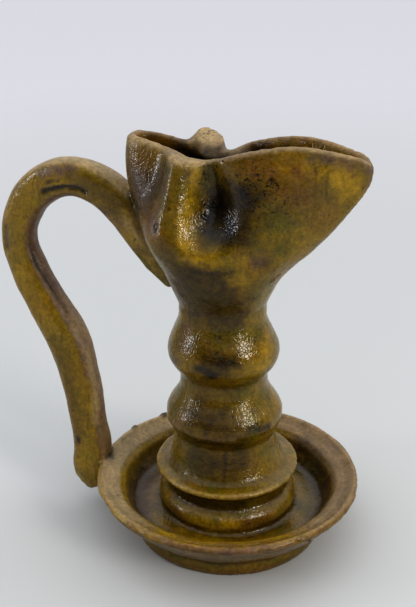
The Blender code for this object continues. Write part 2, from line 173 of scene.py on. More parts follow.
def cupProfile():
    floorLevel = cup["floor"] / cup["height"]

    def wallPoint(level, inset):
        return thrownRadius(level) - inset, cupBase + level * cup["height"]

    floorRadius = thrownRadius(floorLevel) - cup["wall"]
    points = [(floorRadius * u, cupBase + cup["floor"]) for u in np.linspace(0.0, 0.8, 12)]
    points += [wallPoint(level, cup["wall"]) for level in np.linspace(floorLevel * 1.25, 0.95, 62)]
    half = cup["wall"] / 2
    points += arc(thrownRadius(1.0) - half, cupBase + cup["height"] - half, half * 0.98, half, 170, 10, 8)
    points += [wallPoint(level, 0.0) for level in np.linspace(0.955, 0.012, 68)]
    return points


# The cup's pinch: levels run from 0 at its base to 1 at its rim
levelStations = (0.0, 0.2, 0.43, 0.7, 0.87, 1.0)
spoutShares = (0.395, 0.621, 0.832, 0.942, 1.0)
backShares = (0.60, 0.79, 0.985, 1.01, 0.975)


def through(stations, values, at):  # smooth monotone curve through a few stations
    x, y = np.asarray(stations, float), np.asarray(values, float)
    h = np.diff(x)
    d = np.diff(y) / h
    m = np.empty_like(y)
    m[0], m[-1] = d[0], d[-1]
    for k in range(1, len(y) - 1):
        m[k] = 2 * d[k - 1] * d[k] / (d[k - 1] + d[k]) if d[k - 1] * d[k] > 0 else 0.0
    at = np.clip(np.asarray(at, float), x[0], x[-1])
    k = np.clip(np.searchsorted(x, at, side="right") - 1, 0, len(h) - 1)
    u = (at - x[k]) / h[k]
    return ((1 + 2 * u) * (1 - u) ** 2 * y[k] + u * (1 - u) ** 2 * h[k] * m[k]
            + u * u * (3 - 2 * u) * y[k + 1] + u * u * (u - 1) * h[k] * m[k + 1])


def along(x, y):
    dx, dy = np.diff(x), np.diff(y)
    turns = np.abs(np.diff(np.unwrap(np.arctan2(dy, dx))))
    steps = np.hypot(dx, dy) + cup["bendLength"] * np.concatenate(([0.0], turns))
    way = np.concatenate(([0.0], np.cumsum(steps)))
    return way / way[-1]


def halfOutline(level, ears):  # outer outline from the spout's tip round to the back
    def atLevel(*values):
        return float(through(levelStations, values, level))

    neck, belly, lobe, backWide = stem["topNeck"], cup["bellyHalfWidth"], cup["lobeHalfWidth"], cup["backHalfWidth"]
    front = atLevel(neck, *[share * cup["spoutReach"] for share in spoutShares])
    back = atLevel(neck, *[share * cup["backReach"] for share in backShares])
    wide = atLevel(neck, 0.94 * belly, belly, 0.55 * belly + 0.45 * lobe, 0.2 * belly + 0.8 * lobe, lobe)
    narrow = atLevel(neck, 0.94 * belly, 1.02 * belly, 0.4 * belly + 0.6 * backWide,
                     0.12 * belly + 0.88 * backWide, backWide)
    beakFullness = atLevel(2.0, 1.9, 1.5, 1.15, 1.05, 1.0)
    beakTaper = atLevel(0.5, 0.5, 0.53, 0.57, 0.59, 0.6)
    backFullness = atLevel(2.0, 2.0, 2.1, 2.7, 3.3, 3.6)
    pinchShare = atLevel(0.0, 0.0, 0.22, 1.1, 1.12, 1.0)
    ear = atLevel(0.0, 0.02, 0.45, 0.95, 1.0, 1.0) * ears
    earMiddle = cup["earPlace"] - cup["earDrift"] * atLevel(1.0, 1.0, 1.0, 0.45, 0.15, 0.0)
    earHalfWidth = 0.46 * cup["earWidth"] * atLevel(1.9, 1.9, 1.7, 1.25, 1.08, 1.0)
    a = np.linspace(0.0, math.pi, cup["samples"])
    x = np.where(a < math.pi / 2, front * np.cos(a), back * np.cos(a))
    u = np.clip(x / front, 0.0, 1.0)
    v = np.clip(-x / back, 0.0, 1.0)
    yFront = wide * (1.0 - u ** beakFullness) ** beakTaper
    yBack = narrow * (1.0 - v ** backFullness) ** (1.0 / backFullness)
    waistMiddle = cup["waistPlace"] + cup["waistDrift"] * atLevel(1.0, 1.0, 1.0, 0.85, 0.4, 0.0)
    waistHalfWidth = 0.55 * cup["waistWidth"] * atLevel(1.9, 1.9, 1.8, 1.65, 1.3, 1.0)
    y = yBack + (yFront - yBack) * ease((x - waistMiddle) / cup["waistWidth"] + 0.5)
    dent = cup["waistDepth"] * pinchShare * np.exp(-((x - waistMiddle) / waistHalfWidth) ** 2)
    bump = ear * cup["earReach"] * np.exp(-(np.abs(x - earMiddle) / earHalfWidth) ** 2.6)
    y = np.maximum(y - dent, np.minimum(y, 0.85 * backWide)) + bump
    y[0] = y[-1] = 0.0
    return x, y, bump / cup["earReach"]


def innerLine(x, y, inset):
    dx, dy = np.gradient(x), np.gradient(y)
    length = np.hypot(dx, dy)
    xIn, yIn = x - inset * dy / length, y + inset * dx / length
    clear = np.flatnonzero(yIn > 0.0)
    xIn, yIn = xIn[clear[0]:clear[-1] + 1], yIn[clear[0]:clear[-1] + 1]
    return np.concatenate(([xIn[0]], xIn, [xIn[-1]])), np.concatenate(([0.0], yIn, [0.0]))


def rimRise(x):
    b, w, s = cup["backReach"], cup["waistPlace"], cup["spoutReach"]
    stations = (-b, -0.64 * b, -0.36 * b, w - 0.3 * cup["waistWidth"], w + 0.9 * cup["waistWidth"],
                0.33 * s, 0.56 * s, 0.77 * s, 0.92 * s, s)
    drop = cup["waistDrop"]
    rises = (0.0, -0.29 * drop, -0.72 * drop, -drop, -0.53 * drop, -0.07 * drop, cup["crestRise"], 0.0,
             -0.42 * cup["tipDrop"], -cup["tipDrop"])
    return through(stations, rises, x)


def pinch(points, wall, ears):  # moves the thrown cone's rings to the pinched cup
    x, y, z = points.T
    level = (z - cupBase) / cup["height"]
    radius = np.hypot(x, y)
    rimX, rimY, _ = halfOutline(1.0, ears)
    rimShare = along(rimX, rimY)
    keys = np.round(np.stack([radius, z], 1) * 1e6).astype(np.int64)
    _, ring = np.unique(keys, axis=0, return_inverse=True)
    order = np.argsort(ring.ravel(), kind="stable")
    groups = np.split(order, np.flatnonzero(np.diff(ring.ravel()[order])) + 1)
    out = points.copy()
    for group in groups:
        ringLevel = float(level[group[0]])
        if ringLevel < 1e-4:
            continue
        ringRadius = float(radius[group].mean())
        layer = min(max((thrownRadius(ringLevel) - ringRadius) / wall, 0.0), 1.0)
        shareOut = min(ringRadius / (thrownRadius(ringLevel) - wall), 1.0) if layer >= 1.0 else 1.0
        outlineX, outlineY, bump = halfOutline(min(ringLevel, 1.0), ears)
        plainX, plainY, _ = halfOutline(min(ringLevel, 1.0), 0.0)
        xIn, yIn = innerLine(plainX, plainY, wall)
        angle = np.arctan2(y[group], x[group]) if ringRadius > 1e-7 else np.zeros(len(group))
        way = np.abs(angle) / math.pi
        side = np.where(angle < 0.0, -1.0, 1.0)
        index = np.arange(len(outlineX))
        sample = np.interp(way, along(outlineX, outlineY), index)
        innerShare = np.interp(sample, index, along(plainX, plainY))
        innerWay = along(xIn, yIn)
        outerX, outerY = np.interp(sample, index, outlineX), np.interp(sample, index, outlineY)
        spotX = outerX + (np.interp(innerShare, innerWay, xIn) * shareOut - outerX) * layer
        spotY = outerY + (np.interp(innerShare, innerWay, yIn) * shareOut - outerY) * layer
        height = cup["height"] + rimRise(np.interp(way, rimShare, rimX))
        earRise = np.where(side < 0.0, cup["nearEarRise"], cup["farEarRise"])
        knob = ease(1.25 * np.interp(sample, index, bump))
        lift = earRise * knob * (1.0 - 0.8 * layer) * float(ease((ringLevel - 0.7) / 0.3))
        out[group] = np.stack([spotX, side * spotY, cupBase + ringLevel * height + lift], 1)
    return out


def axisDrift(z):  # how far the leaning clay has moved sideways at a height
    drift = stem["lean"] * np.maximum(z - dish["floor"], 0.0)
    return drift + stem["shift"] * ease((z - collarTop) / (0.6 * stem["skirtHeight"]))


def leanOver(points):
    drift = axisDrift(points[:, 2])
    out = points.copy()
    out[:, 0] += drift * math.cos(stem["leanDirection"])
    out[:, 1] += drift * math.sin(stem["leanDirection"])
    return out


def readPoints(mesh):
    flat = np.empty(len(mesh.vertices) * 3)
    mesh.vertices.foreach_get("co", flat)
    return flat.reshape(-1, 3)


def writePoints(mesh, points):
    mesh.vertices.foreach_set("co", points.ravel())
    mesh.update()


def turned(name, profile, steps):
    shape = bmesh.new()
    line = [shape.verts.new((radius, 0.0, height)) for radius, height in profile]
    edges = [shape.edges.new(pair) for pair in zip(line, line[1:])]
    bmesh.ops.spin(shape, geom=line + edges, cent=(0, 0, 0), axis=(0, 0, 1), dvec=(0, 0, 0),
                   angle=2 * math.pi, steps=steps, use_merge=True)
    bmesh.ops.remove_doubles(shape, verts=shape.verts, dist=turning["weld"])
    bmesh.ops.recalc_face_normals(shape, faces=shape.faces)
    mesh = bpy.data.meshes.new(name)
    shape.to_mesh(mesh)
    shape.free()
    piece = bpy.data.objects.new(name, mesh)
    bpy.context.scene.collection.objects.link(piece)
    return piece


def evaluatedMesh(piece, name):
    graph = bpy.context.evaluated_depsgraph_get()
    graph.update()
    mesh = bpy.data.meshes.new_from_object(piece.evaluated_get(graph))
    mesh.name = name
    return mesh


def strapRoute():
    middleReach = strap["reach"] - strap["thickness"] / 2
    middleTop = handleTop - strap["thickness"] / 2
    seat = math.sqrt(dish["radius"] ** 2 - strap["endSide"] ** 2) + 0.54 * strap["thickness"] - strap["bite"]
    cupSide = ((-0.345, 0.124, 0.66), (-0.215, 0.321, 0.94), (-0.06, 0.579, 1.04), (0.09, 0.799, 1.06),
               (0.27, 0.949, 1.04), (0.52, 1.0, 1.02), (0.78, 0.860, 1.0))
    dishSide = ((0.893, 0.865, 0.97), (1.0, 0.767, 0.95), (0.893, 0.651, 1.04), (0.619, 0.525, 1.12),
                (0.350, 0.417, 1.20), (0.172, 0.287, 1.12), (0.053, 0.138, 1.03), (0.012, 0.018, 1.08),
                (0.0, -0.067, 1.14), (-0.13, -0.120, 0.88))
    route = [(-(cup["backReach"] + out * (middleReach - cup["backReach"])), 0.0,
              cupBase + up * (middleTop - cupBase), size) for out, up, size in cupSide]
    return route + [(-(seat + out * (middleReach - seat)), strap["endSide"] * float(ease(1.0 - (up + 0.2) / 0.95)),
                     dish["height"] + up * (middleTop - dish["height"]), size) for out, up, size in dishSide]


def strapMesh():
    section = bpy.data.curves.new("strapSection", "CURVE")
    section.dimensions = "2D"
    spline = section.splines.new("POLY")
    spline.points.add(strap["sides"] - 1)
    for k, point in enumerate(spline.points):
        a = 2 * math.pi * k / strap["sides"]
        power = strap["squareness"]
        share = (abs(math.cos(a)) ** power + abs(math.sin(a)) ** power) ** (-1 / power) / 2
        point.co = (strap["thickness"] * share * math.cos(a), strap["width"] * share * math.sin(a), 0.0, 1.0)
    spline.use_cyclic_u = True
    sectionGuide = bpy.data.objects.new("strapSection", section)
    bpy.context.scene.collection.objects.link(sectionGuide)
    curve = bpy.data.curves.new("strapGuide", "CURVE")
    curve.dimensions = "3D"
    curve.twist_mode = "MINIMUM"
    curve.bevel_mode = "OBJECT"
    curve.bevel_object = sectionGuide
    curve.use_fill_caps = True
    curve.resolution_u = strap["steps"]
    spline = curve.splines.new("BEZIER")
    route = strapRoute()
    spline.bezier_points.add(len(route) - 1)
    for point, (x, y, z, size) in zip(spline.bezier_points, route):
        point.co = (x, y, z)
        point.radius = size
        point.handle_left_type = point.handle_right_type = "AUTO"
    guide = bpy.data.objects.new("strapGuide", curve)
    bpy.context.scene.collection.objects.link(guide)
    mesh = evaluatedMesh(guide, "strap")
    shape = bmesh.new()
    shape.from_mesh(mesh)
    bmesh.ops.remove_doubles(shape, verts=shape.verts, dist=turning["weld"])
    bmesh.ops.recalc_face_normals(shape, faces=shape.faces)
    shape.to_mesh(mesh)
    shape.free()
    curve.bevel_mode = "ROUND"
    middle = evaluatedMesh(guide, "strapMiddle")
    middleLine = leanOver(readPoints(middle))
    bpy.data.meshes.remove(middle)
    bpy.data.objects.remove(guide)
    bpy.data.objects.remove(sectionGuide)
    writePoints(mesh, leanOver(readPoints(mesh)))
    return mesh, middleLine


def buildClay():  # the whole lamp as one closed surface
    line = softLine(stemProfile() + dishProfile(), turning["spacing"])
    base = [(dish["footRadius"] - 0.6 * mm, 0.0)] + [(dish["footRadius"] * u, 0.0) for u in np.linspace(0.95, 0.0, 24)]
    body = turned("body", cupProfile() + line + base, turning["steps"])
    writePoints(body.data, leanOver(pinch(readPoints(body.data), cup["wall"], 1.0)))
    half = cup["wall"] / 2
    levels = (1.3, 1.0, 0.92, 0.8, 0.65, 0.5, 0.35, 0.2, 0.1)
    profile = [(0.0, cupBase + levels[0] * cup["height"])]
    profile += [(thrownRadius(level) - half, cupBase + level * cup["height"]) for level in levels]
    core = turned("cupCore", profile + [(0.0, cupBase + cup["floor"] / 2)], turning["coreSteps"])
    writePoints(core.data, leanOver(pinch(readPoints(core.data), half, 0.0)))
    mesh, middleLine = strapMesh()
    handle = bpy.data.objects.new("handle", mesh)
    bpy.context.scene.collection.objects.link(handle)
    trim = handle.modifiers.new("clearOfCup", "BOOLEAN")
    trim.operation = "DIFFERENCE"
    trim.solver = "EXACT"
    trim.object = core
    trimmed = evaluatedMesh(handle, "handleTrimmed")
    shape = bmesh.new()
    shape.from_mesh(body.data)
    shape.from_mesh(trimmed)
    joined = bpy.data.meshes.new("joined")
    shape.to_mesh(joined)
    shape.free()
    for helper in (body, core, handle):
        bpy.data.objects.remove(helper)
    print("body and handle joined:", len(joined.vertices), "points")
    return joined, middleLine


surface = {"voxel": 1.15 * mm, "smoothPasses": 5}


def fused(joined):
    piece = bpy.data.objects.new("oilLamp", joined)
    bpy.context.scene.collection.objects.link(piece)
    remesh = piece.modifiers.new("fuse", "REMESH")
    remesh.mode = "VOXEL"
    remesh.voxel_size = surface["voxel"]
    remesh.use_smooth_shade = True
    mesh = evaluatedMesh(piece, "oilLamp")
    piece.modifiers.clear()
    piece.data = mesh
    print("fused:", len(mesh.vertices), "points,", len(mesh.polygons), "faces")
    return piece


class Clay:  # the surface's points and neighbours, for smoothing and carving
    def __init__(self, mesh):
        self.mesh = mesh
        self.points = readPoints(mesh)
        pairs = np.empty(len(mesh.edges) * 2, np.int64)
        mesh.edges.foreach_get("vertices", pairs)
        self.a, self.b = pairs.reshape(-1, 2).T
        count = len(self.points)
        self.valence = np.maximum(np.bincount(self.a, minlength=count) + np.bincount(self.b, minlength=count), 1)

    def neighbourMean(self, values):
        values = values.reshape(len(values), -1)
        out = np.stack([np.bincount(self.a, values[self.b, k], len(values))
                        + np.bincount(self.b, values[self.a, k], len(values)) for k in range(values.shape[1])], 1)
        return (out / self.valence[:, None]).squeeze()

    def blurred(self, values, passes):
        for _ in range(passes):
            values = 0.5 * values + 0.5 * self.neighbourMean(values)
        return values

    def smooth(self, passes):  # shrink-free smoothing
        for _ in range(passes):
            self.points = self.points + 0.55 * (self.neighbourMean(self.points) - self.points)
            self.points = self.points - 0.57 * (self.neighbourMean(self.points) - self.points)

    def normals(self):
        writePoints(self.mesh, self.points)
        flat = np.empty(len(self.points) * 3)
        self.mesh.vertices.foreach_get("normal", flat)
        return flat.reshape(-1, 3)


def noiseAt(points, size, seed, octaves=2):  # smooth noise of about -1 to 1 with lumps of a size in mm
    step = 1.0 / (size * mm)
    shift = Vector((seed * 17.3, seed * 5.9, seed * 11.1))
    return np.array([noise.fractal(Vector(p) + shift, 1.0, 2.0, octaves) for p in points * step])


def lineDistance(points, line):
    best = np.full(len(points), 1e9)
    ends = np.array(line, float) * mm
    if len(ends) == 1:
        return np.linalg.norm(points - ends[0], axis=1)
    for p, q in zip(ends, ends[1:]):
        way = q - p
        share = np.clip((points - p) @ way / (way @ way), 0.0, 1.0)
        best = np.minimum(best, np.linalg.norm(points - p - share[:, None] * way, axis=1))
    return best


# Marks on the surface, each with its half width in mm, its depth in mm (a plus stands proud) and its places
carvings = (
    ("crack under the arch", 1.2, -1.5, ((-87.5, -8.2, 158.2), (-84, -8.2, 159.3), (-76, -8.4, 161.2),
        (-70, -8.4, 161.4), (-65.5, -8.4, 160))),
    ("short crack above it", 0.8, -0.5, ((-85, -8.5, 163), (-79, -8.5, 164))),
    ("groove inside the bend", 1.6, -0.9, ((-97.5, -5.4, 131), (-95, -5.2, 122), (-90.5, -5.0, 114.5),
        (-85, -5.4, 105.5), (-80.5, -6.2, 98))),
    ("ridge down the strap", 1.8, 0.7, ((-78, -6, 93), (-71.5, -7.5, 84), (-66.5, -9, 72), (-64.5, -11, 60),
        (-64, -13.5, 47))),
    ("hollow beside the ridge", 2.6, -0.6, ((-68, -14, 66), (-66.5, -15, 52), (-65.5, -15.6, 44))),
    ("hole in the strap", 1.0, -1.0, ((-72.6, -15.8, 37.2), (-72.4, -16, 35.4))),
    ("hole below it", 0.9, -0.9, ((-72.7, -16.7, 27.5),)),
    ("strap meets the rim", 1.0, -1.0, ((-60, -17, 34.5), (-61, -19.5, 28), (-63.5, -20.5, 22), (-65, -19, 15))),
    ("chip on the bend", 3.0, -0.9, ((-109.5, -8, 139), (-111, -7.5, 134), (-110, -8, 128.5))),
    ("chip on the arch", 1.3, -0.6, ((-91.1, -8.6, 163.4),)),
    ("chip on the arch", 1.3, -0.6, ((-98.5, -8.2, 158),)),
    ("chip on the arch", 1.0, -0.5, ((-96.4, -8.2, 150.9),)),
    ("knock on the outer edge", 1.6, -0.7, ((-96, -12, 100), (-93, -12.5, 93), (-89.5, -13, 86))),
    ("pressed ring", 0.55, -0.45, ((-13.6, -19.8, 178), (-11.6, -19.6, 178.4), (-10.6, -20.2, 176.6),
        (-11.4, -20.9, 174.8), (-13.4, -21.2, 174.6), (-14.4, -20.8, 176.2), (-13.6, -19.8, 178))),
    ("pit in the fold", 0.8, -0.8, ((-12.5, -23.2, 168.3),)),
    ("pit in the fold", 0.7, -0.7, ((-16.7, -27.0, 163.1),)),
    ("torn edge of the fold", 1.1, -0.7, ((-20.5, -21.6, 171), (-21, -22.6, 167), (-21.6, -24.2, 162.5))),
    ("holes by the joint", 1.2, -1.1, ((-22.6, -28.2, 156), (-22.4, -28.6, 153.4))),
    ("scar under the fold", 1.1, -0.45, ((-5.5, -27.8, 137.6), (-1, -26.8, 137), (5, -25.6, 137.2),
        (10.8, -23.6, 138.4))),
    ("scratch in the throat", 0.8, -0.3, ((2, -16.5, 150), (7, -19.5, 155), (10.5, -21, 158))),
    ("lump under the bowl", 1.6, 0.8, ((22.6, -9.2, 131.6),)),
    ("chip under the bowl", 1.1, -0.8, ((24.6, -8.4, 133.6),)),
    ("pit in the bulb", 0.75, -0.7, ((3.3, -20.6, 106.2),)),
    ("pit in the bulb", 0.7, -0.6, ((18.8, -7.0, 102.1),)),
    ("pit in the bulb", 0.8, -0.7, ((2.6, -23.4, 100.2),)),
    ("pit in the lower bulb", 0.8, -0.7, ((9.4, -21.1, 69.6),)),
    ("lump on the cone", 0.8, 0.5, ((15.6, -18.4, 55.5),)),
    ("drop in the recess", 1.5, 0.9, ((6.7, -30.9, 21.8), (6.9, -31.8, 19.6))),
    ("lump on the back rim", 1.9, 1.2, ((-59.4, 18.9, 28.0),)),
    ("lump on the back rim", 2.2, 1.3, ((-50.9, 35.9, 27.9), (-49.6, 37.6, 27.9))),
    ("notch in the rim", 1.3, -1.0, ((-59.4, -10.6, 28.0),)),
    ("chip in the front rim", 2.2, -0.9, ((-12.4, -60.8, 27.6), (-9.6, -61.4, 26.8))),
    ("chip in the front rim", 1.8, -0.7, ((3, -61.9, 26.8), (10.1, -61.2, 27))),
    ("chip in the front rim", 1.6, -1.0, ((47.2, -40.2, 26.8),)),
    ("hanging drop", 0.8, 1.3, ((50.6, -35.4, 24.6), (50.6, -35.4, 23.2))),
    ("pinhole", 0.7, -0.6, ((-41.0, -35.9, 25.1),)),
    ("pinhole", 0.7, -0.7, ((-41.8, -8.2, 140.8),)),
    ("lump by the handle", 0.9, 0.7, ((-31.6, -20.3, 154.8),)),
    ("clay smear", 3.4, 0.7, ((-45, -8.4, 150), (-38.5, -9.4, 141), (-33, -12, 133), (-29.5, -12.5, 127.5))),
    ("edge under the smear", 1.0, -0.8, ((-42, -7.4, 134), (-36, -7.2, 128), (-30.5, -8.0, 122.8))),
    ("chip in the far rim", 1.2, -0.8, ((51.3, 3.4, 186.6),)),
)

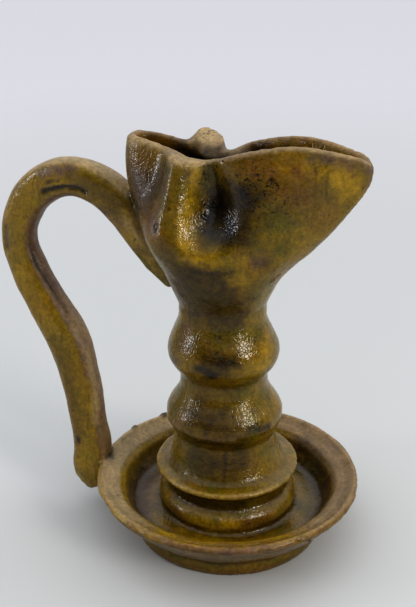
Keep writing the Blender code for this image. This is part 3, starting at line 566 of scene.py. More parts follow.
# Colour marks: what the glaze does there, or what painted shade, highlight or reflection is laid there, its half width
# in mm, its strength and its places
marks = (
    # Painted shade: the soot and pooled marks here darken the deep hollow beside the near fold
    ("sootAndShade", 6.0, 1.0, ((-1.5, -13.5, 165), (-3.4, -13.5, 160.5), (-3.8, -16.5, 156), (-1.5, -20, 152))),
    ("sootAndShade", 4.5, 0.75, ((3, -16.5, 160), (7, -19, 156.5), (6, -21, 152))),
    ("speckle", 15.0, 0.9, ((1, -16, 176), (8, -18, 172), (16, -18.6, 174), (20, -18.4, 170))),
    ("sootAndShade", 6.0, 0.5, ((6, -17.8, 168), (11, -18.5, 171), (17, -18.6, 171))),
    ("pooledAndShade", 12.0, 0.8, ((5, -17.8, 163), (10, -18.8, 158), (12, -19.4, 161))),
    ("sootAndShade", 8.0, 0.62, ((5, -17.6, 166), (9, -18.6, 160), (12, -19, 166))),
    ("pooledAndShade", 8.0, 0.7, ((4, -20, 150), (12, -21, 152))),
    ("olive", 7.0, 1.0, ((43, -11, 177), (38, -12.5, 169), (33, -14, 162), (30, -15, 156))),
    ("olive", 5.0, 1.0, ((17, -22, 154), (22, -20, 150))),
    # Painted shade on the lower bulb's front and under its lip
    ("pooledAndShade", 9.0, 0.7, ((-6, -24, 68), (4, -24, 66), (10, -22, 60))),
    ("pooledAndShade", 4.0, 0.8, ((-12, -26, 57), (2, -28, 57), (14, -23, 57))),
    ("ochre", 3.6, 1.0, ((-8.9, -17.3, 178.5), (-9.8, -20.5, 169), (-11.3, -24, 160.3), (-10.8, -27.5, 151.6),
        (-7, -28.2, 145), (-1.1, -26.7, 139.7))),
    ("ochre", 6.0, 0.55, ((-1.1, -26.7, 141), (10.7, -24, 144), (12, -22, 131))),
    ("olive", 13.0, 0.8, ((30, -15, 158), (37, -12.5, 164))),
    ("ochre", 5.5, 0.8, ((26, -14.6, 182.5), (46.6, -9.3, 180), (52, -7, 173))),
    ("ochre", 9.0, 0.4, ((52, -6, 172), (44, -8, 160), (34, -10, 146))),
    ("rust", 13.0, 0.8, ((12, -18, 180), (24, -16.4, 177), (35, -13.6, 172))),
    ("rust", 7.0, 0.6, ((41.7, -9.0, 157.8), (46, -7.4, 163))),
    ("thin", 4.5, 0.7, ((19.5, -20.2, 142.8),)),
    ("sootAndShade", 4.0, 0.35, ((19.5, -20.4, 143.2), (21, -19.6, 142))),
    # Painted shade under the near fold
    ("pooledAndShade", 8.5, 0.6, ((-17, -29, 144), (-13, -29.8, 139), (-5, -27.6, 136), (4, -25.8, 135.5))),
    ("sootAndShade", 3.0, 0.3, ((-14, -30.2, 141), (-6, -28.0, 136.8), (2, -26.4, 136.6))),
    # The rust and pooled marks on the back panel darken it: brown glaze and painted shade
    ("rust", 12.0, 0.9, ((-36.2, -12, 180), (-33, -15.5, 166), (-27, -22, 156))),
    ("thin", 5.0, 0.6, ((-38, -12, 172), (-31, -17, 162), (-25, -25, 154))),
    ("pooledAndShade", 12.0, 1.0, ((-37, -12.5, 166), (-33, -15, 164), (-28, -16, 168), (-25, -18, 172))),
    ("ochre", 3.6, 0.75, ((-26.5, -13.2, 181), (-30.5, -13.4, 174.5))),
    # Pale along the rim's top edges: worn pale glaze and a painted highlight
    ("pale", 4.0, 0.6, ((-41, -9.2, 186), (-36, -11, 187), (-30, -12, 185.5))),
    ("pale", 4.6, 0.7, ((-17, -18.6, 181.4), (-13.6, -17, 182.2), (-9, -14.6, 181))),
    ("pale", 1.3, 0.7, ((14, -14.6, 185), (26, -13.2, 187.6), (38, -10.8, 188.2), (50, -7.8, 186.8),
        (60, -2.5, 183))),
    ("thin", 3.4, 0.6, ((-20.4, -21.8, 174), (-22, -24.6, 162), (-24.5, -27.4, 153))),
    ("pale", 9.5, 0.85, ((-14.8, 12.4, 187),)),
    ("speckle", 7.0, 0.8, ((-14.8, 12.4, 188),)),
    ("thin", 5.0, 0.85, ((38, -10.4, 187.6), (50, -7.6, 186), (60.6, -1.5, 182.3))),
    ("thin", 3.4, 0.9, ((60.5, -0.5, 181), (58, -1, 175))),
    ("ochre", 5.0, 0.9, ((14, 10.6, 188.4), (24, 11, 189), (37, 8.6, 188.4), (50, 4.6, 186.4))),
    ("rust", 6.0, 0.8, ((-8, 8, 181), (3, 11, 183), (12, 11.6, 186))),
    ("rust", 5.0, 0.8, ((-38, 6, 187), (-30, 7, 185.5), (-22, 7, 183))),
    # Painted shade in the cup's inside, between the rims
    ("sootAndShade", 8.0, 0.9, ((-24, 4.6, 179), (-14, 4, 177), (-4, 5, 176), (8, 7, 178))),
    ("thin", 7.0, 0.6, ((-19, -19.4, 128), (-20, -16, 120))),
    # Painted shade: these pooled marks darken the bowl's underside, the neck under it, the upper bulb's front, the
    # skirt and the recess under the collar
    ("pooledAndShade", 12.0, 1.0, ((-12, -22, 129), (-4, -24, 128), (4, -23, 125), (10, -20, 122))),
    ("pooledAndShade", 7.0, 0.6, ((-14, -19, 118), (0, -20, 116), (10, -17, 114))),
    ("pooledAndShade", 7.0, 0.7, ((-2, -25, 96), (6, -23, 95))),
    ("pooledAndShade", 8.0, 0.6, ((-10, -24, 46), (4, -25, 45), (16, -19, 46))),
    ("pooledAndShade", 4.0, 0.9, ((-16, -24, 27), (0, -29, 27), (16, -25, 27))),
    ("ochre", 5.0, 0.55, ((12.1, -20.8, 129.7), (14, -16.5, 120), (16, -13.5, 110))),
    ("sootAndShade", 2.6, 1.0, ((-4.6, -26, 92.4), (-1.6, -26.2, 91.6), (2.6, -25, 90.2))),
    ("sootAndShade", 3.4, 0.65, ((6.2, -24, 96.6), (10.6, -21.8, 96.2))),
    ("rust", 7.0, 0.8, ((-13, -21, 100), (-14.5, -19.4, 108))),
    ("ochre", 6.0, 0.6, ((-12, -23, 92), (-6, -25.6, 95.5))),
    ("ochre", 7.0, 0.6, ((15, -19, 92), (19.5, -11, 92), (21, -6, 98))),
    ("olive", 9.0, 0.7, ((14, -14, 76), (19, -9, 70))),
    ("olive", 8.0, 0.5, ((2, -21, 112), (10, -17, 107))),
    ("speckle", 6.0, 1.0, ((19.2, -17, 63.2), (23, -11.2, 60.8))),
    ("sootAndShade", 3.1, 0.8, ((17.6, -18.6, 62.6), (21, -14.8, 62.2), (23.2, -10.8, 61.6))),
    ("rust", 4.6, 0.9, ((-15.4, -23.9, 61.8), (-19.4, -20.6, 60))),
    ("thin", 3.4, 0.8, ((-16.5, -21.4, 91.6), (-20.5, -16, 90))),
    ("ochre", 3.4, 0.5, ((-14, -26, 58.6), (1.4, -27.2, 60.1), (12.6, -23.3, 60.5))),
    ("sootAndShade", 1.0, 0.7, ((7.0, -22.9, 52), (7.2, -23.3, 44), (7.0, -25, 38.6))),
    ("ochre", 1.1, 0.7, ((9.0, -22.6, 51), (9.2, -23.0, 44))),
    ("rust", 4.0, 0.9, ((-15.5, -28.6, 18), (-11, -30.4, 16))),
    ("rust", 5.0, 0.6, ((19, -26, 19), (26, -19, 18))),
    ("ochre", 5.2, 1.0, ((-10, -31, 16), (-2, -33, 16), (8, -32.4, 16), (19, -27.6, 16))),
    ("olive", 5.0, 0.8, ((-49, 0, 18), (-46, -16, 18), (-38, -30, 18))),
    ("ochre", 3.0, 0.7, ((-50, 2, 20), (-47, -18, 20), (-38, -33, 20))),
    # Painted reflection: the glossy dish floor's purple-grey on the left
    ("thin", 7.0, 1.0, ((-42.7, 2.1, 12.2), (-40, -14, 12.2), (-33, -26, 12.2))),
    ("rust", 9.0, 0.8, ((21.5, 48, 23), (33, 42, 22), (44, 30, 20), (49, 14, 18), (47, -6, 17))),
    ("sootAndShade", 7.0, 0.6, ((26, 44, 20), (38, 33, 17), (45, 18, 16))),
    ("sootAndShade", 6.0, 0.55, ((-44, 28, 18), (-37, 38, 20))),
    ("rust", 5.0, 0.7, ((20, -54, 27), (30, -50, 27), (40, -43, 27))),
    ("ochre", 5.2, 1.0, ((-6, -56.4, 25.6), (6, -56.4, 25.6), (18, -53, 25.6), (30, -47, 25.4))),
    ("pale", 3.0, 0.3, ((-6, -57.4, 25.8), (6, -57.4, 25.8), (18, -54, 25.8), (30, -48, 25.6))),
    ("thin", 2.2, 0.4, ((-16, -60, 27.6), (4, -62, 27.4), (22, -58, 27.4), (40, -47.6, 27.2))),
    ("bare", 1.4, 0.9, ((-12.4, -61, 27.2), (-2, -62, 26.6), (9, -61.4, 27), (20, -59, 26.6), (31, -54, 26.8))),
    ("bare", 1.2, 0.8, ((-26, -56.6, 27), (-20, -59, 26.6))),
    ("sootAndShade", 1.6, 0.6, ((-2, -61.9, 25.4), (12, -60.6, 25.6), (22, -58, 25.4))),
    # Dark laid on the raised lumps and the hanging drop, and in the notch, cracks, chips, grooves, holes, pits and the
    # gap at the strap's foot; in the holes and the gap at the strap's foot it is painted shadow
    ("sootAndShade", 2.4, 1.0, ((-59.4, 18.9, 28.8),)),
    ("sootAndShade", 2.8, 1.0, ((-50.9, 35.9, 28.8), (-49.6, 37.6, 28.8))),
    ("sootAndShade", 1.8, 0.8, ((-59.4, -10.6, 27.6), (-57.5, -8.8, 27))),
    ("sootAndShade", 1.2, 1.0, ((50.6, -35.4, 24.2), (50.6, -35.4, 22))),
    ("sootAndShade", 1.7, 1.0, ((-87.5, -8.2, 158.2), (-84, -8.2, 159.3), (-76, -8.4, 161.2), (-70, -8.4, 161.4),
        (-65.5, -8.4, 160))),
    ("sootAndShade", 1.2, 0.8, ((-85, -8.5, 163), (-79, -8.5, 164))),
    ("pooledAndShade", 9.0, 0.7, ((-66, -8, 163), (-56, -8, 160), (-48, -8, 155))),
    ("pooledAndShade", 7.0, 0.6, ((-84, -12, 84), (-78, -14, 70), (-75, -15, 52), (-73, -16, 38))),
    ("thin", 3.4, 0.9, ((-88, -7.0, 166.4), (-80, -7.6, 168.8), (-72, -7.4, 169.4))),
    ("sootAndShade", 2.6, 0.6, ((-109.8, -8, 138), (-111, -7.5, 133), (-110, -8, 128))),
    ("bare", 1.8, 0.8, ((-110.4, -8, 131), (-110, -8, 127))),
    ("sootAndShade", 1.6, 0.8, ((-96, -12.6, 99), (-92, -13, 91), (-88, -13.4, 83))),
    ("sootAndShade", 1.5, 0.7, ((-97.5, -5.4, 131), (-95, -5.2, 122), (-90.5, -5.0, 114.5), (-85, -5.4, 105.5),
        (-80.5, -6.2, 98))),
    ("pale", 2.4, 0.5, ((-74, -7, 86), (-66.5, -9, 72), (-64.5, -11, 60), (-64, -13.5, 47))),
    ("sootAndShade", 1.3, 1.0, ((-72.6, -16.2, 37.2), (-72.4, -16.4, 35.4))),
    ("sootAndShade", 1.1, 1.0, ((-72.7, -17, 27.5),)),
    ("sootAndShade", 1.6, 0.8, ((-60, -17, 34.5), (-61, -19.5, 28), (-63.5, -20.5, 22), (-65, -19, 15))),
    ("sootAndShade", 1.0, 0.9, ((-12.5, -23.2, 168.3),)),
    ("sootAndShade", 0.9, 0.9, ((-16.7, -27.0, 163.1),)),
    ("sootAndShade", 1.4, 0.9, ((-22.6, -28.2, 156), (-22.4, -28.6, 153.4))),
    ("sootAndShade", 0.9, 0.6, ((-13.6, -19.8, 178), (-10.6, -20.2, 176.6), (-13.4, -21.2, 174.6))),
    ("sootAndShade", 1.2, 0.5, ((-5.5, -27.8, 137.6), (5, -25.6, 137.2), (10.8, -23.6, 138.4))),
    ("sootAndShade", 0.9, 1.0, ((3.3, -20.6, 106.2),)),
    ("sootAndShade", 0.9, 0.9, ((18.8, -7.0, 102.1),)),
    ("sootAndShade", 1.0, 1.0, ((2.6, -23.4, 100.2),)),
    ("sootAndShade", 1.0, 1.0, ((9.4, -21.1, 69.6),)),
    ("sootAndShade", 0.9, 1.0, ((-41.0, -35.9, 25.1),)),
    ("sootAndShade", 0.9, 1.0, ((-41.8, -8.2, 140.8),)),
    ("sootAndShade", 1.6, 0.8, ((24.4, -8.6, 133.4), (22.6, -9.4, 130.8))),
    ("ochre", 7.0, 0.6, ((-45, -8.4, 150), (-38.5, -9.4, 141), (-31, -12, 130))),
    ("pale", 5.0, 0.35, ((-45, -8.4, 150), (-38.5, -9.4, 141), (-31, -12, 130))),
    # Painted shadow along the strap's upper end where it meets the cup
    ("sootAndShade", 3.4, 0.6, ((-46, -9, 165), (-40, -12.5, 160), (-35, -15, 156))),
    ("thin", 4.0, 0.6, ((-56, -8.4, 152), (-48, -8.4, 146))),
)

# Places that a wet finger rounded: line, half width in mm, smoothing passes
softened = (
    (((62.4, -1.6, 181),), 5.4, 36),
    (((-14.8, 12.4, 189),), 3.4, 6),
    (((3, -14.6, 173), (2.4, -14.5, 170), (-1.5, -13.5, 164)), 4.6, 26),
)

# The soot and pooled tones lay real dark glaze and also painted shade; the tone for thinly glazed parts also lays a
# painted reflection on the dish floor's left; the pale tone lays worn pale glaze and also painted highlights
kinds = ("thin", "ochre", "sootAndShade", "pale", "pooledAndShade", "bare", "speckle", "rust", "olive")


def bell(distance, halfWidth):
    return ease(1.0 - distance / (1.35 * halfWidth * mm))


class Places:  # where each point lies round the leaning axis, and in noise of three sizes
    def __init__(self, points):
        self.points = points
        self.z = points[:, 2]
        drift = axisDrift(self.z)
        x = points[:, 0] - drift * math.cos(stem["leanDirection"])
        y = points[:, 1] - drift * math.sin(stem["leanDirection"])
        self.r, self.angle = np.hypot(x, y), np.arctan2(y, x)
        self.big, self.middle, self.small = noiseAt(points, 26, 1), noiseAt(points, 9, 2), noiseAt(points, 3.4, 3)

    def towards(self, degrees):  # 1 on that side of the axis, -1 on the other
        return np.cos(self.angle - math.radians(degrees))


# What the hands left on the surface: depths, pitches and heights
relief = {"swell": 0.34 * mm, "ripple": 0.17 * mm, "grain": 0.06 * mm,
          "throwingPitch": 3.1 * mm, "throwingDepth": 0.055 * mm, "dishPitch": 2.7 * mm, "dishDepth": 0.10 * mm,
          "rimWear": 1.3 * mm, "lipHeight": 59.9 * mm, "lipDepth": 0.95 * mm, "lipWave": 0.9 * mm,
          "lipFrom": math.radians(-152), "lipTo": math.radians(-57), "boxGap": 0.02 * mm, "flatUnder": 0.3 * mm}


def shapeClay(clay):
    clay.smooth(surface["smoothPasses"])
    for line, halfWidth, passes in softened:
        share = 0.5 * bell(lineDistance(clay.points, line), halfWidth)[:, None]
        for _ in range(passes):
            clay.points = clay.points + share * (clay.neighbourMean(clay.points) - clay.points)
    points, normals = clay.points.copy(), clay.normals()
    places = Places(points)
    r, angle, z = places.r, places.angle, places.z
    offset = relief["swell"] * places.big + relief["ripple"] * places.middle + relief["grain"] * places.small

    turnedPart = ease((cupBase - z) / (8 * mm) + 0.5) * ease((47 * mm - r) / (6 * mm))
    rings = np.sin(2 * math.pi * (z / relief["throwingPitch"] + 0.6 * places.big + 0.05 * angle))
    offset += relief["throwingDepth"] * rings * turnedPart * (0.6 + 0.4 * places.middle)

    onDish = ease((dishClear - z) / (1.5 * mm)) * ease((r - 36 * mm) / (4 * mm))
    offset += relief["dishDepth"] * onDish * np.sin(2 * math.pi * (r / relief["dishPitch"] + 0.5 * places.big))
    rimEdge = onDish * np.exp(-((r - dish["radius"] + 0.5 * mm) / (2.2 * mm)) ** 2)
    rimEdge *= ease((z - dish["height"] + 5.5 * mm) / (2 * mm))
    front = ease(0.35 + 0.9 * places.towards(-105))
    worn = np.maximum(places.middle + 0.6 * places.small, 0.0)
    offset -= relief["rimWear"] * rimEdge * (0.15 + 0.55 * front) * worn

    lipRun = ease((angle - relief["lipFrom"]) / 0.25) * ease((relief["lipTo"] - angle) / 0.035)
    lipZ = relief["lipHeight"] + relief["lipWave"] * np.sin(2.0 * angle + 1.0)
    onLip = np.exp(-((z - lipZ) / (1.5 * mm)) ** 2) * ease((30 * mm - r) / (2 * mm)) * ease((r - 22 * mm) / (2 * mm))
    offset += relief["lipDepth"] * lipRun * onLip

    for _, halfWidth, depth, line in carvings:
        offset += depth * mm * bell(lineDistance(points, line), halfWidth)
    clay.points = points + normals * offset[:, None]
    clay.smooth(1)
    low, high = np.array(cadBox[0]), np.array(cadBox[1])
    clay.points = np.clip(clay.points, low + relief["boxGap"], high - relief["boxGap"])
    clay.points[:, 2] = np.where(z < relief["flatUnder"], low[2], clay.points[:, 2])
    return places, clay.normals()


def strapPlaces(places, normals, middleLine):  # which points are the strap's, and how they face the loop's inside
    points = places.points
    route = middleLine[::max(1, len(middleLine) // 120)]
    nearest, which = np.full(len(points), 1e9), np.zeros(len(points), int)
    for k, spot in enumerate(route):
        away = np.linalg.norm(points - spot, axis=1)
        closer = away < nearest
        nearest[closer], which[closer] = away[closer], k
    ways = np.gradient(route, axis=0)
    ways /= np.linalg.norm(ways, axis=1)[:, None]
    inwards = np.cross(ways, (0.0, 1.0, 0.0))
    inwards /= np.linalg.norm(inwards, axis=1)[:, None]
    onStrap = ease((12.5 * mm - nearest) / (2.5 * mm)) * ease((places.r - 38 * mm) / (4 * mm))
    onStrap *= 1.0 - ease((dishClear - places.z) / (4 * mm)) * ease((dish["radius"] + 0.5 * mm - places.r) / (2 * mm))
    return onStrap, (normals * inwards[which]).sum(1)


def paintPot(tones, clay, places, normals, body):  # the stem and the cup, and what shows all over
    points, r, angle, z = places.points, places.r, places.angle, places.z
    big, middle, small, up = places.big, places.middle, places.small, normals[:, 2]
    hollow = ((clay.blurred(clay.points, 16) - clay.points) * normals).sum(1) / mm
    fine = ((clay.blurred(clay.points, 4) - clay.points) * normals).sum(1) / mm
    outwards = normals[:, 0] * np.cos(angle) + normals[:, 1] * np.sin(angle)
    # The inside mask darkens the cup's interior with rust and soot colour below: painted shade
    inside = body * ease((z - cupBase - cup["floor"] + 0.4 * mm) / (3 * mm)) * (1.0 - ease((outwards + 0.15) / 0.4))
    # Upward faces near the cup's top; the pale laid on them below is a painted highlight as well as worn glaze
    rim = body * ease((z - rimHeight + 19.9 * mm) / (8 * mm)) * ease((up - 0.35) / 0.4)
    collarEdge = np.exp(-((r - stem["collarRadius"] + 0.2 * mm) / (1.1 * mm)) ** 2)
    collarEdge *= np.exp(-((z - collarLow - stem["collarThickness"] / 2) / (1.8 * mm)) ** 2)
    # Painted shade on the stem's side facing the front (towards -80 degrees), from above the collar up to the bowl's
    # underside
    frontShade = ease((places.towards(-80) - 0.75) / 0.2)
    frontShade *= ease((cupBase + 20.6 * mm - z) / (8 * mm)) * ease((z - collarTop - 1.1 * mm) / (3 * mm))
    tones["thin"] += 0.14 * ease(0.5 + 1.3 * big) + 0.45 * rim
    tones["ochre"] += 0.34 * ease(0.4 + 0.9 * middle - 0.6 * big)
    tones["ochre"] += 0.9 * collarEdge * ease((-math.radians(20) - angle) / 0.4)
    tones["rust"] += 0.40 * ease(0.3 - 1.2 * big + 0.6 * middle) + 0.5 * inside
    tones["olive"] += 0.5 * ease(0.4 + 1.1 * noiseAt(points, 19, 7))
    # Darker in hollows: pooled glaze and painted shade
    tones["pooledAndShade"] += 0.8 * ease(hollow / 0.55) * (1.0 - 0.5 * ease((z - rimHeight + 29.9 * mm) / (10 * mm)))
    # Painted shade on the stem's front
    tones["pooledAndShade"] += 0.35 * body * frontShade
    tones["speckle"] += 0.35 * ease(0.4 + 1.4 * noiseAt(points, 15, 9))
    # The rim's pale: painted highlight and worn glaze
    tones["pale"] += 0.4 * rim + 0.10 * ease(-hollow / 0.5 - 0.2) + 0.25 * collarEdge
    # Painted shade inside the cup
    tones["sootAndShade"] += 0.85 * inside * ease(0.6 + 0.9 * big) * ease((rimHeight - 8.9 * mm - z) / (9 * mm))
    tones["bare"] += 0.15 * rim * ease(0.4 + 2.0 * small) + ease((0.5 * mm - z) / (0.4 * mm))
    tones["bare"] += 0.2 * ease((-fine - 0.12) / 0.10) * ease(0.2 + 2.0 * middle)


def paintDish(tones, places, normals, body):  # ledge, its two edges, gutter and outer wall, with painted shade on the steep and downward faces
    r, z, middle, up = places.r, places.z, places.middle, normals[:, 2]
    onDish = body * ease((dishClear - z) / (1.5 * mm)) * ease((r - 37 * mm) / (3 * mm))
    ledge = onDish * ease((r - ledgeInner - 0.5 * mm) / (1.5 * mm)) * ease((up - 0.6) / 0.25)
    atFront = ease((places.towards(-72) - 0.62) / 0.3)
    atRight = ease((places.towards(38) - 0.1) / 0.5)
    wornLedge = (0.72 + 0.25 * middle) * (1.0 - 0.5 * ease((r - dish["radius"] + 2 * mm) / (1.5 * mm)))
    innerEdge = onDish * np.exp(-((r - ledgeInner + 0.4 * mm) / (1.1 * mm)) ** 2) * ease((up - 0.2) / 0.3)
    outerEdge = onDish * ease((r - dish["radius"] + 1.7 * mm) / mm) * ease((up + 0.3) / 0.5)
    left = ease(0.3 - 0.9 * places.towards(10))
    gutter = ease((ledgeInner - r) / (3 * mm)) * ease((up - 0.3) / 0.3) * ease((dish["floor"] + 6.7 * mm - z) / (3 * mm))
    # Steep and downward faces of the dish, darkened below with rust and pooled colour: painted shade
    steepShade = onDish * ease((0.2 - up) / 0.4)
    tones["pale"] += ledge * wornLedge * (1.0 - 0.9 * atFront) * (1.0 - 0.5 * atRight)
    tones["ochre"] += 0.8 * ledge * atFront + 0.8 * outerEdge * left
    tones["ochre"] += 0.9 * innerEdge * ease(0.9 - 0.6 * places.towards(20))
    tones["rust"] += 0.8 * ledge * atRight + 0.5 * outerEdge * (1.0 - left) + 0.6 * steepShade
    tones["thin"] += 0.3 * ledge * ease(0.5 + middle)
    tones["pooledAndShade"] += 0.35 * onDish * gutter + 0.3 * steepShade * ease(0.5 + places.big)


def paintStrap(tones, places, normals, onStrap, facingIn):  # pale arch (a painted highlight on its top), ochre side, thinly glazed inner face, worn outer edge
    z, middle, facingNear = places.z, places.middle, -normals[:, 1]
    arch = onStrap * ease((z - handleTop + 25.2 * mm) / (14 * mm))
    outerEdge = ease((-facingIn - 0.25) / 0.2) * ease((facingNear - 0.2) / 0.3)
    # Painted highlight on the arch's upward top
    tones["pale"] += arch * ease((-facingIn - 0.45) / 0.35) * (0.9 + 0.3 * middle)
    tones["pale"] += onStrap * ease((facingIn - 0.5) / 0.4) * (0.35 + 0.3 * middle) * ease((112 * mm - z) / (20 * mm))
    tones["thin"] += 0.95 * onStrap * ease((facingIn - 0.35) / 0.4)
    tones["thin"] += 0.45 * onStrap * ease((-facingIn - 0.5) / 0.3) * (1.0 - arch)
    tones["ochre"] += 0.45 * onStrap * ease((facingNear - 0.4) / 0.4)
    chipped = ease(0.2 + 2.2 * middle + places.small) * ease((150 * mm - z) / (20 * mm))
    tones["bare"] += 0.5 * onStrap * outerEdge * chipped


def paintClay(clay, places, normals, middleLine):
    points = places.points
    tones = {kind: np.zeros(len(points)) for kind in kinds}
    onStrap, facingIn = strapPlaces(places, normals, middleLine)
    body = 1.0 - onStrap
    paintPot(tones, clay, places, normals, body)
    paintDish(tones, places, normals, body)
    paintStrap(tones, places, normals, onStrap, facingIn)
    warp = np.stack([noiseAt(points, 4.2, 21 + k) for k in range(3)], 1)
    for kind, halfWidth, strength, line in marks:
        moved = points + warp * min(0.45 * halfWidth, 3.0) * mm
        tones[kind] += strength * bell(lineDistance(moved, line), halfWidth)
    farEar = bell(lineDistance(points, ((-14.8, 12.4, 186),)), 8.5)  # stands clear of the dark marks round it
    for kind in ("sootAndShade", "pooledAndShade", "rust", "bare"):
        tones[kind] *= 1.0 - farEar
    return {kind: np.clip(tone, 0.0, 1.0) for kind, tone in tones.items()}


toneLayers = (("flow", kinds[0:3]), ("wear", kinds[3:6]), ("spots", kinds[6:9]))


def storeTones(mesh, tones):  # three colour attributes carry the nine tones to the material
    for name, trio in toneLayers:
        layer = mesh.color_attributes.new(name, "FLOAT_COLOR", "POINT")
        values = np.ones((len(mesh.vertices), 4), np.float32)
        for k, kind in enumerate(trio):
            values[:, k] = tones[kind]
        layer.data.foreach_set("color", values.ravel())


def linear(code):  # an sRGB hex colour as the linear colour that the shader takes
    parts = [int(code[k:k + 2], 16) / 255 for k in (1, 3, 5)]
    return tuple(c / 12.92 if c <= 0.04045 else ((c + 0.055) / 1.055) ** 2.4 for c in parts) + (1.0,)


def addNode(tree, kind, inputs=None, **settings):
    node = tree.nodes.new(kind)
    for name, value in settings.items():
        setattr(node, name, value)
    for socket, value in (inputs or {}).items():
        if isinstance(value, bpy.types.NodeSocket):
            tree.links.new(value, node.inputs[socket])
        else:
            node.inputs[socket].default_value = value
    return node


def scaleFor(size):  # texture scale, in object metres, for features of a size in mm
    return 1.0 / (size * mm)


# Glaze colours as sRGB (the dark pooled and soot colours also lay painted shade, pale also painted highlights, and the
# purple-grey one for thinly glazed parts a painted reflection), then the sizes of its patterns and the depths of its
# bumps in mm
glaze = {"amber": "#725a02", "olive": "#605800", "ochre": "#a08200", "rust": "#6e4c16", "thin": "#6a5342",
         "pale": "#a58f66", "pooledAndShade": "#372602", "sootAndShade": "#171310", "bare": "#79563d", "speck": "#22160a",
         "patch": 11.0, "cloud": 4.2, "streak": 2.2, "fleck": 1.7, "mottle": 1.5, "shade": 7.0, "lump": 4.0,
         "peel": 1.4, "grain": 0.8, "crackle": 1.5,
         "lumpDepth": 0.28, "peelDepth": 0.09, "crackleDepth": 0.05, "rawDepth": 0.25,
         "roughness": 0.07, "ior": 1.58, "shine": 0.42}


def glazeMaterial():
    # Lead glaze over fired clay: a glassy, high-index skin that pools dark in hollows and wears pale on edges; its
    # colour also carries painted shade in hollows, under overhangs and inside the cup, painted highlights on the rim
    # and the arch, and a painted reflection on the dish floor
    material = bpy.data.materials.new("amberLeadGlaze")
    material.use_nodes = True
    tree = material.node_tree
    shader = tree.nodes["Principled BSDF"]
    place = addNode(tree, "ShaderNodeTexCoord").outputs["Object"]
    tall = addNode(tree, "ShaderNodeVectorMath", {0: place, 1: (1.0, 1.0, 0.12)}, operation="MULTIPLY").outputs[0]
    tone = {}
    for name, trio in toneLayers:
        layer = addNode(tree, "ShaderNodeVertexColor", layer_name=name).outputs["Color"]
        parts = addNode(tree, "ShaderNodeSeparateColor", {"Color": layer}).outputs
        tone.update(zip(trio, parts))
    field = {}
    for name, size, detail, roughness, way in (("patch", glaze["patch"], 3.0, 0.55, place),
                                               ("cloud", glaze["cloud"], 4.0, 0.58, place),
                                               ("streak", glaze["streak"], 3.0, 0.6, tall),
                                               ("fleck", glaze["fleck"], 4.0, 0.7, place),
                                               ("mottle", glaze["mottle"], 3.0, 0.65, place),
                                               ("shade", glaze["shade"], 4.0, 0.6, place),
                                               ("lump", glaze["lump"], 2.0, 0.5, place),
                                               ("peel", glaze["peel"], 2.0, 0.55, place),
                                               ("grain", glaze["grain"], 3.0, 0.6, place)):
        field[name] = addNode(tree, "ShaderNodeTexNoise", {"Vector": way, "Scale": scaleFor(size), "Detail": detail,
                                                           "Roughness": roughness}).outputs["Fac"]

    threshold = addNode(tree, "ShaderNodeMapRange", {0: tone["speckle"], 3: 0.70, 4: 0.54}).outputs[0]
    over = addNode(tree, "ShaderNodeMath", {0: field["fleck"], 1: threshold}, operation="SUBTRACT").outputs[0]
    bareClearOfDark = addNode(tree, "ShaderNodeMath", {0: tone["bare"], 1: tone["sootAndShade"]}, operation="SUBTRACT",
                       use_clamp=True).outputs[0]
    covers = (  # colour, how much of it, then the noise that breaks it up and its range
        ("olive", 0.75, field["patch"], 0.36, 0.64, 0.0, 1.0),
        ("olive", tone["olive"], field["cloud"], 0.3, 0.6, 0.4, 1.0),
        ("ochre", tone["ochre"], field["cloud"], 0.25, 0.6, 0.7, 1.05),
        ("rust", tone["rust"], field["cloud"], 0.3, 0.65, 0.55, 1.0),
        ("pooledAndShade", 0.42, field["streak"], 0.56, 0.74, 0.0, 1.0),
        ("thin", tone["thin"], field["cloud"], 0.3, 0.62, 0.6, 1.05),
        # The pooled, pale and soot rows lay painted shade and painted highlights as well as glaze
        ("pooledAndShade", tone["pooledAndShade"], field["cloud"], 0.25, 0.65, 1.0, 0.7),
        ("pale", tone["pale"], field["cloud"], 0.3, 0.6, 0.8, 1.0),
        ("speck", 0.35, field["cloud"], 0.60, 0.70, 0.0, 1.0),
        ("speck", 0.85, over, 0.0, 0.05, 0.0, 1.0),
        ("sootAndShade", tone["sootAndShade"], field["cloud"], 0.3, 0.6, 0.75, 1.1),
        ("bare", bareClearOfDark, field["grain"], 0.35, 0.6, 0.0, 1.0),
    )
    colour = linear(glaze["amber"])
    for name, share, noiseField, low, high, least, most in covers:
        broken = addNode(tree, "ShaderNodeMapRange", {0: noiseField, 1: low, 2: high, 3: least, 4: most},
                         interpolation_type="SMOOTHSTEP").outputs[0]
        amount = addNode(tree, "ShaderNodeMath", {0: share, 1: broken}, operation="MULTIPLY", use_clamp=True).outputs[0]
        colour = addNode(tree, "ShaderNodeMix", {0: amount, 6: colour, 7: linear(glaze[name])},
                         data_type="RGBA").outputs[2]
    for name, low, high, least, most in (("mottle", 0.3, 0.7, 0.78, 1.2), ("shade", 0.32, 0.68, 1.12, 0.86)):
        depth = addNode(tree, "ShaderNodeMapRange", {0: field[name], 1: low, 2: high, 3: least, 4: most},
                        interpolation_type="SMOOTHSTEP").outputs[0]
        colour = addNode(tree, "ShaderNodeVectorMath", {0: colour, "Scale": depth}, operation="SCALE").outputs[0]
    tree.links.new(colour, shader.inputs["Base Color"])

    rough = glaze["roughness"]
    for source, share in ((field["cloud"], 0.16), (tone["pale"], 0.26), (tone["thin"], 0.2), (bareClearOfDark, 0.35)):
        rough = addNode(tree, "ShaderNodeMath", {0: source, 1: share, 2: rough}, operation="MULTIPLY_ADD",
                        use_clamp=True).outputs[0]
    tree.links.new(rough, shader.inputs["Roughness"])
    shader.inputs["IOR"].default_value = glaze["ior"]
    shader.inputs["Specular IOR Level"].default_value = glaze["shine"]

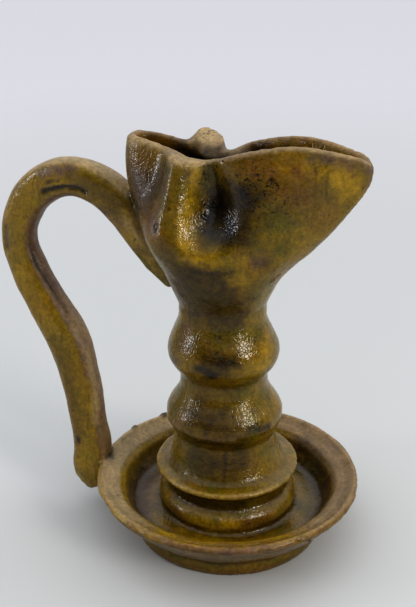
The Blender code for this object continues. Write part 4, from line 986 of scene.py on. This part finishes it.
    cells = addNode(tree, "ShaderNodeTexVoronoi", {"Vector": place, "Scale": scaleFor(glaze["crackle"])},
                    feature="DISTANCE_TO_EDGE").outputs["Distance"]
    cracks = addNode(tree, "ShaderNodeMapRange", {0: cells, 1: 0.0, 2: 0.14}).outputs[0]
    boost = addNode(tree, "ShaderNodeMapRange", {0: tone["olive"], 1: 0.55, 2: 1.0, 3: 0.75, 4: 5.0}).outputs[0]
    peel = addNode(tree, "ShaderNodeMath", {0: field["peel"], 1: boost}, operation="MULTIPLY").outputs[0]
    raw = addNode(tree, "ShaderNodeMath", {0: field["grain"], 1: bareClearOfDark}, operation="MULTIPLY").outputs[0]
    normal = None
    for height, distance, strength in ((field["lump"], glaze["lumpDepth"], 1.0), (peel, glaze["peelDepth"], 1.0),
                                       (cracks, glaze["crackleDepth"], 0.8), (raw, glaze["rawDepth"], 1.0)):
        sockets = {"Height": height, "Distance": distance * mm, "Strength": strength}
        if normal:
            sockets["Normal"] = normal
        normal = addNode(tree, "ShaderNodeBump", sockets).outputs[0]
    tree.links.new(normal, shader.inputs["Normal"])
    return material


def buildLamp():
    joined, middleLine = buildClay()
    lamp = fused(joined)
    clay = Clay(lamp.data)
    places, normals = shapeClay(clay)
    print("clay shaped")
    storeTones(lamp.data, paintClay(clay, places, normals, middleLine))
    print("glaze laid")
    lamp.data.materials.clear()
    lamp.data.materials.append(glazeMaterial())
    lamp.data.shade_smooth()
    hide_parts("oil_lamp")
    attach(lamp, "root")
    triangles = sum(len(face.vertices) - 2 for face in lamp.data.polygons)
    print("lamp:", triangles, "triangles")


# The paper's near colour (floor) is darker than its far one: painted shade round the lamp
studio = {"floor": "#c6c8c8", "far": "#d6d6da", "floorSide": 9.0, "floorRoughness": 0.75, "near": 0.15, "away": 1.4,
          "world": "#e1e2e7", "worldBack": 0.72, "worldFront": 0.05, "backWall": (-0.342, 0.94, 0.35),
          "aim": (-0.01, 0.0, 0.09), "skyPower": 1.29, "skyAngle": math.radians(130),
          "skyTilt": (math.radians(4), math.radians(6), 0.0)}

# Soft boxes: name, direction from the lamp, distance, size, power and colour
softBoxes = (
    ("keyRight", (0.88, -0.33, 0.40), 1.1, (0.3, 0.34), 3.3, "#fffaf2"),
    ("fillLeft", (-0.86, -0.47, 0.21), 1.2, (0.22, 0.3), 1.8, "#f4f7ff"),
)


def buildFloor():
    shape = bmesh.new()
    bmesh.ops.create_grid(shape, x_segments=8, y_segments=8, size=studio["floorSide"])
    mesh = bpy.data.meshes.new("floor")
    shape.to_mesh(mesh)
    shape.free()
    floor = bpy.data.objects.new("floor", mesh)
    bpy.context.scene.collection.objects.link(floor)
    # Matte background paper: no gloss at all, so that it stays one soft tone from every side
    material = bpy.data.materials.new("matteSweepPaper")
    material.use_nodes = True
    shader = material.node_tree.nodes["Principled BSDF"]
    tree = material.node_tree
    place = addNode(tree, "ShaderNodeTexCoord").outputs["Object"]
    # Darker near the lamp, paler further off: painted shade round the lamp
    away = addNode(tree, "ShaderNodeVectorMath", {0: place}, operation="LENGTH").outputs["Value"]
    share = addNode(tree, "ShaderNodeMapRange", {0: away, 1: studio["near"], 2: studio["away"]},
                    interpolation_type="SMOOTHSTEP").outputs[0]
    paper = addNode(tree, "ShaderNodeMix", {0: share, 6: linear(studio["floor"]), 7: linear(studio["far"])},
                    data_type="RGBA").outputs[2]
    tree.links.new(paper, shader.inputs["Base Color"])
    shader.inputs["Roughness"].default_value = studio["floorRoughness"]
    shader.inputs["Specular IOR Level"].default_value = 0.0
    mesh.materials.append(material)


def softBox(name, direction, distance, size, power, colour):
    panel = bpy.data.lights.new(name, "AREA")
    panel.shape = "RECTANGLE"
    panel.size, panel.size_y = size
    panel.energy = power
    panel.color = linear(colour)[:3]
    light = bpy.data.objects.new(name, panel)
    target = Vector(studio["aim"])
    light.location = target + Vector(direction).normalized() * distance
    light.rotation_euler = (target - light.location).to_track_quat("-Z", "Y").to_euler()
    bpy.context.scene.collection.objects.link(light)


def buildStudio():
    buildFloor()
    for box in softBoxes:
        softBox(*box)
    sky = bpy.data.lights.new("topSoft", "SUN")  # an even soft ceiling, the same all over the paper
    sky.energy = studio["skyPower"]
    sky.angle = studio["skyAngle"]
    ceiling = bpy.data.objects.new("topSoft", sky)
    ceiling.rotation_euler = studio["skyTilt"]
    bpy.context.scene.collection.objects.link(ceiling)
    world = bpy.data.worlds.new("studioRoom")
    bpy.context.scene.world = world
    world.use_nodes = True
    tree = world.node_tree
    background = tree.nodes["Background"]
    direction = addNode(tree, "ShaderNodeTexCoord").outputs["Generated"]
    towards = addNode(tree, "ShaderNodeVectorMath", {0: direction, 1: studio["backWall"]}, operation="DOT_PRODUCT")
    strength = addNode(tree, "ShaderNodeMapRange", {0: towards.outputs["Value"], 1: -0.7, 2: 0.7,
                                                    3: studio["worldFront"], 4: studio["worldBack"]})
    seen = addNode(tree, "ShaderNodeLightPath").outputs["Is Camera Ray"]  # the pale backdrop, from every side
    shown = addNode(tree, "ShaderNodeMix", {0: seen, 2: strength.outputs[0], 3: studio["worldBack"]})
    background.inputs["Color"].default_value = linear(studio["world"])
    tree.links.new(shown.outputs[0], background.inputs["Strength"])
    print("studio ready")


# The photograph's view, fitted to the outlines of the dish, the stem and the cup
view = {"lens": 53.38, "sensor": 36.0, "place": (0.1265, -0.3477, 0.268), "pitch": 22.64, "turn": 20.0 + 1.48}


def buildCamera():
    camera = bpy.data.objects.new("camera", bpy.data.cameras.new("camera"))
    camera.data.lens = view["lens"]
    camera.data.sensor_width = view["sensor"]
    camera.location = view["place"]
    camera.rotation_euler = (math.radians(90 - view["pitch"]), 0.0, math.radians(view["turn"]))
    bpy.context.scene.collection.objects.link(camera)
    bpy.context.scene.camera = camera
    print("camera placed")


buildLamp()
buildStudio()
buildCamera()
bpy.context.scene.view_settings.view_transform = "Standard"
bpy.context.scene.view_settings.look = "High Contrast"
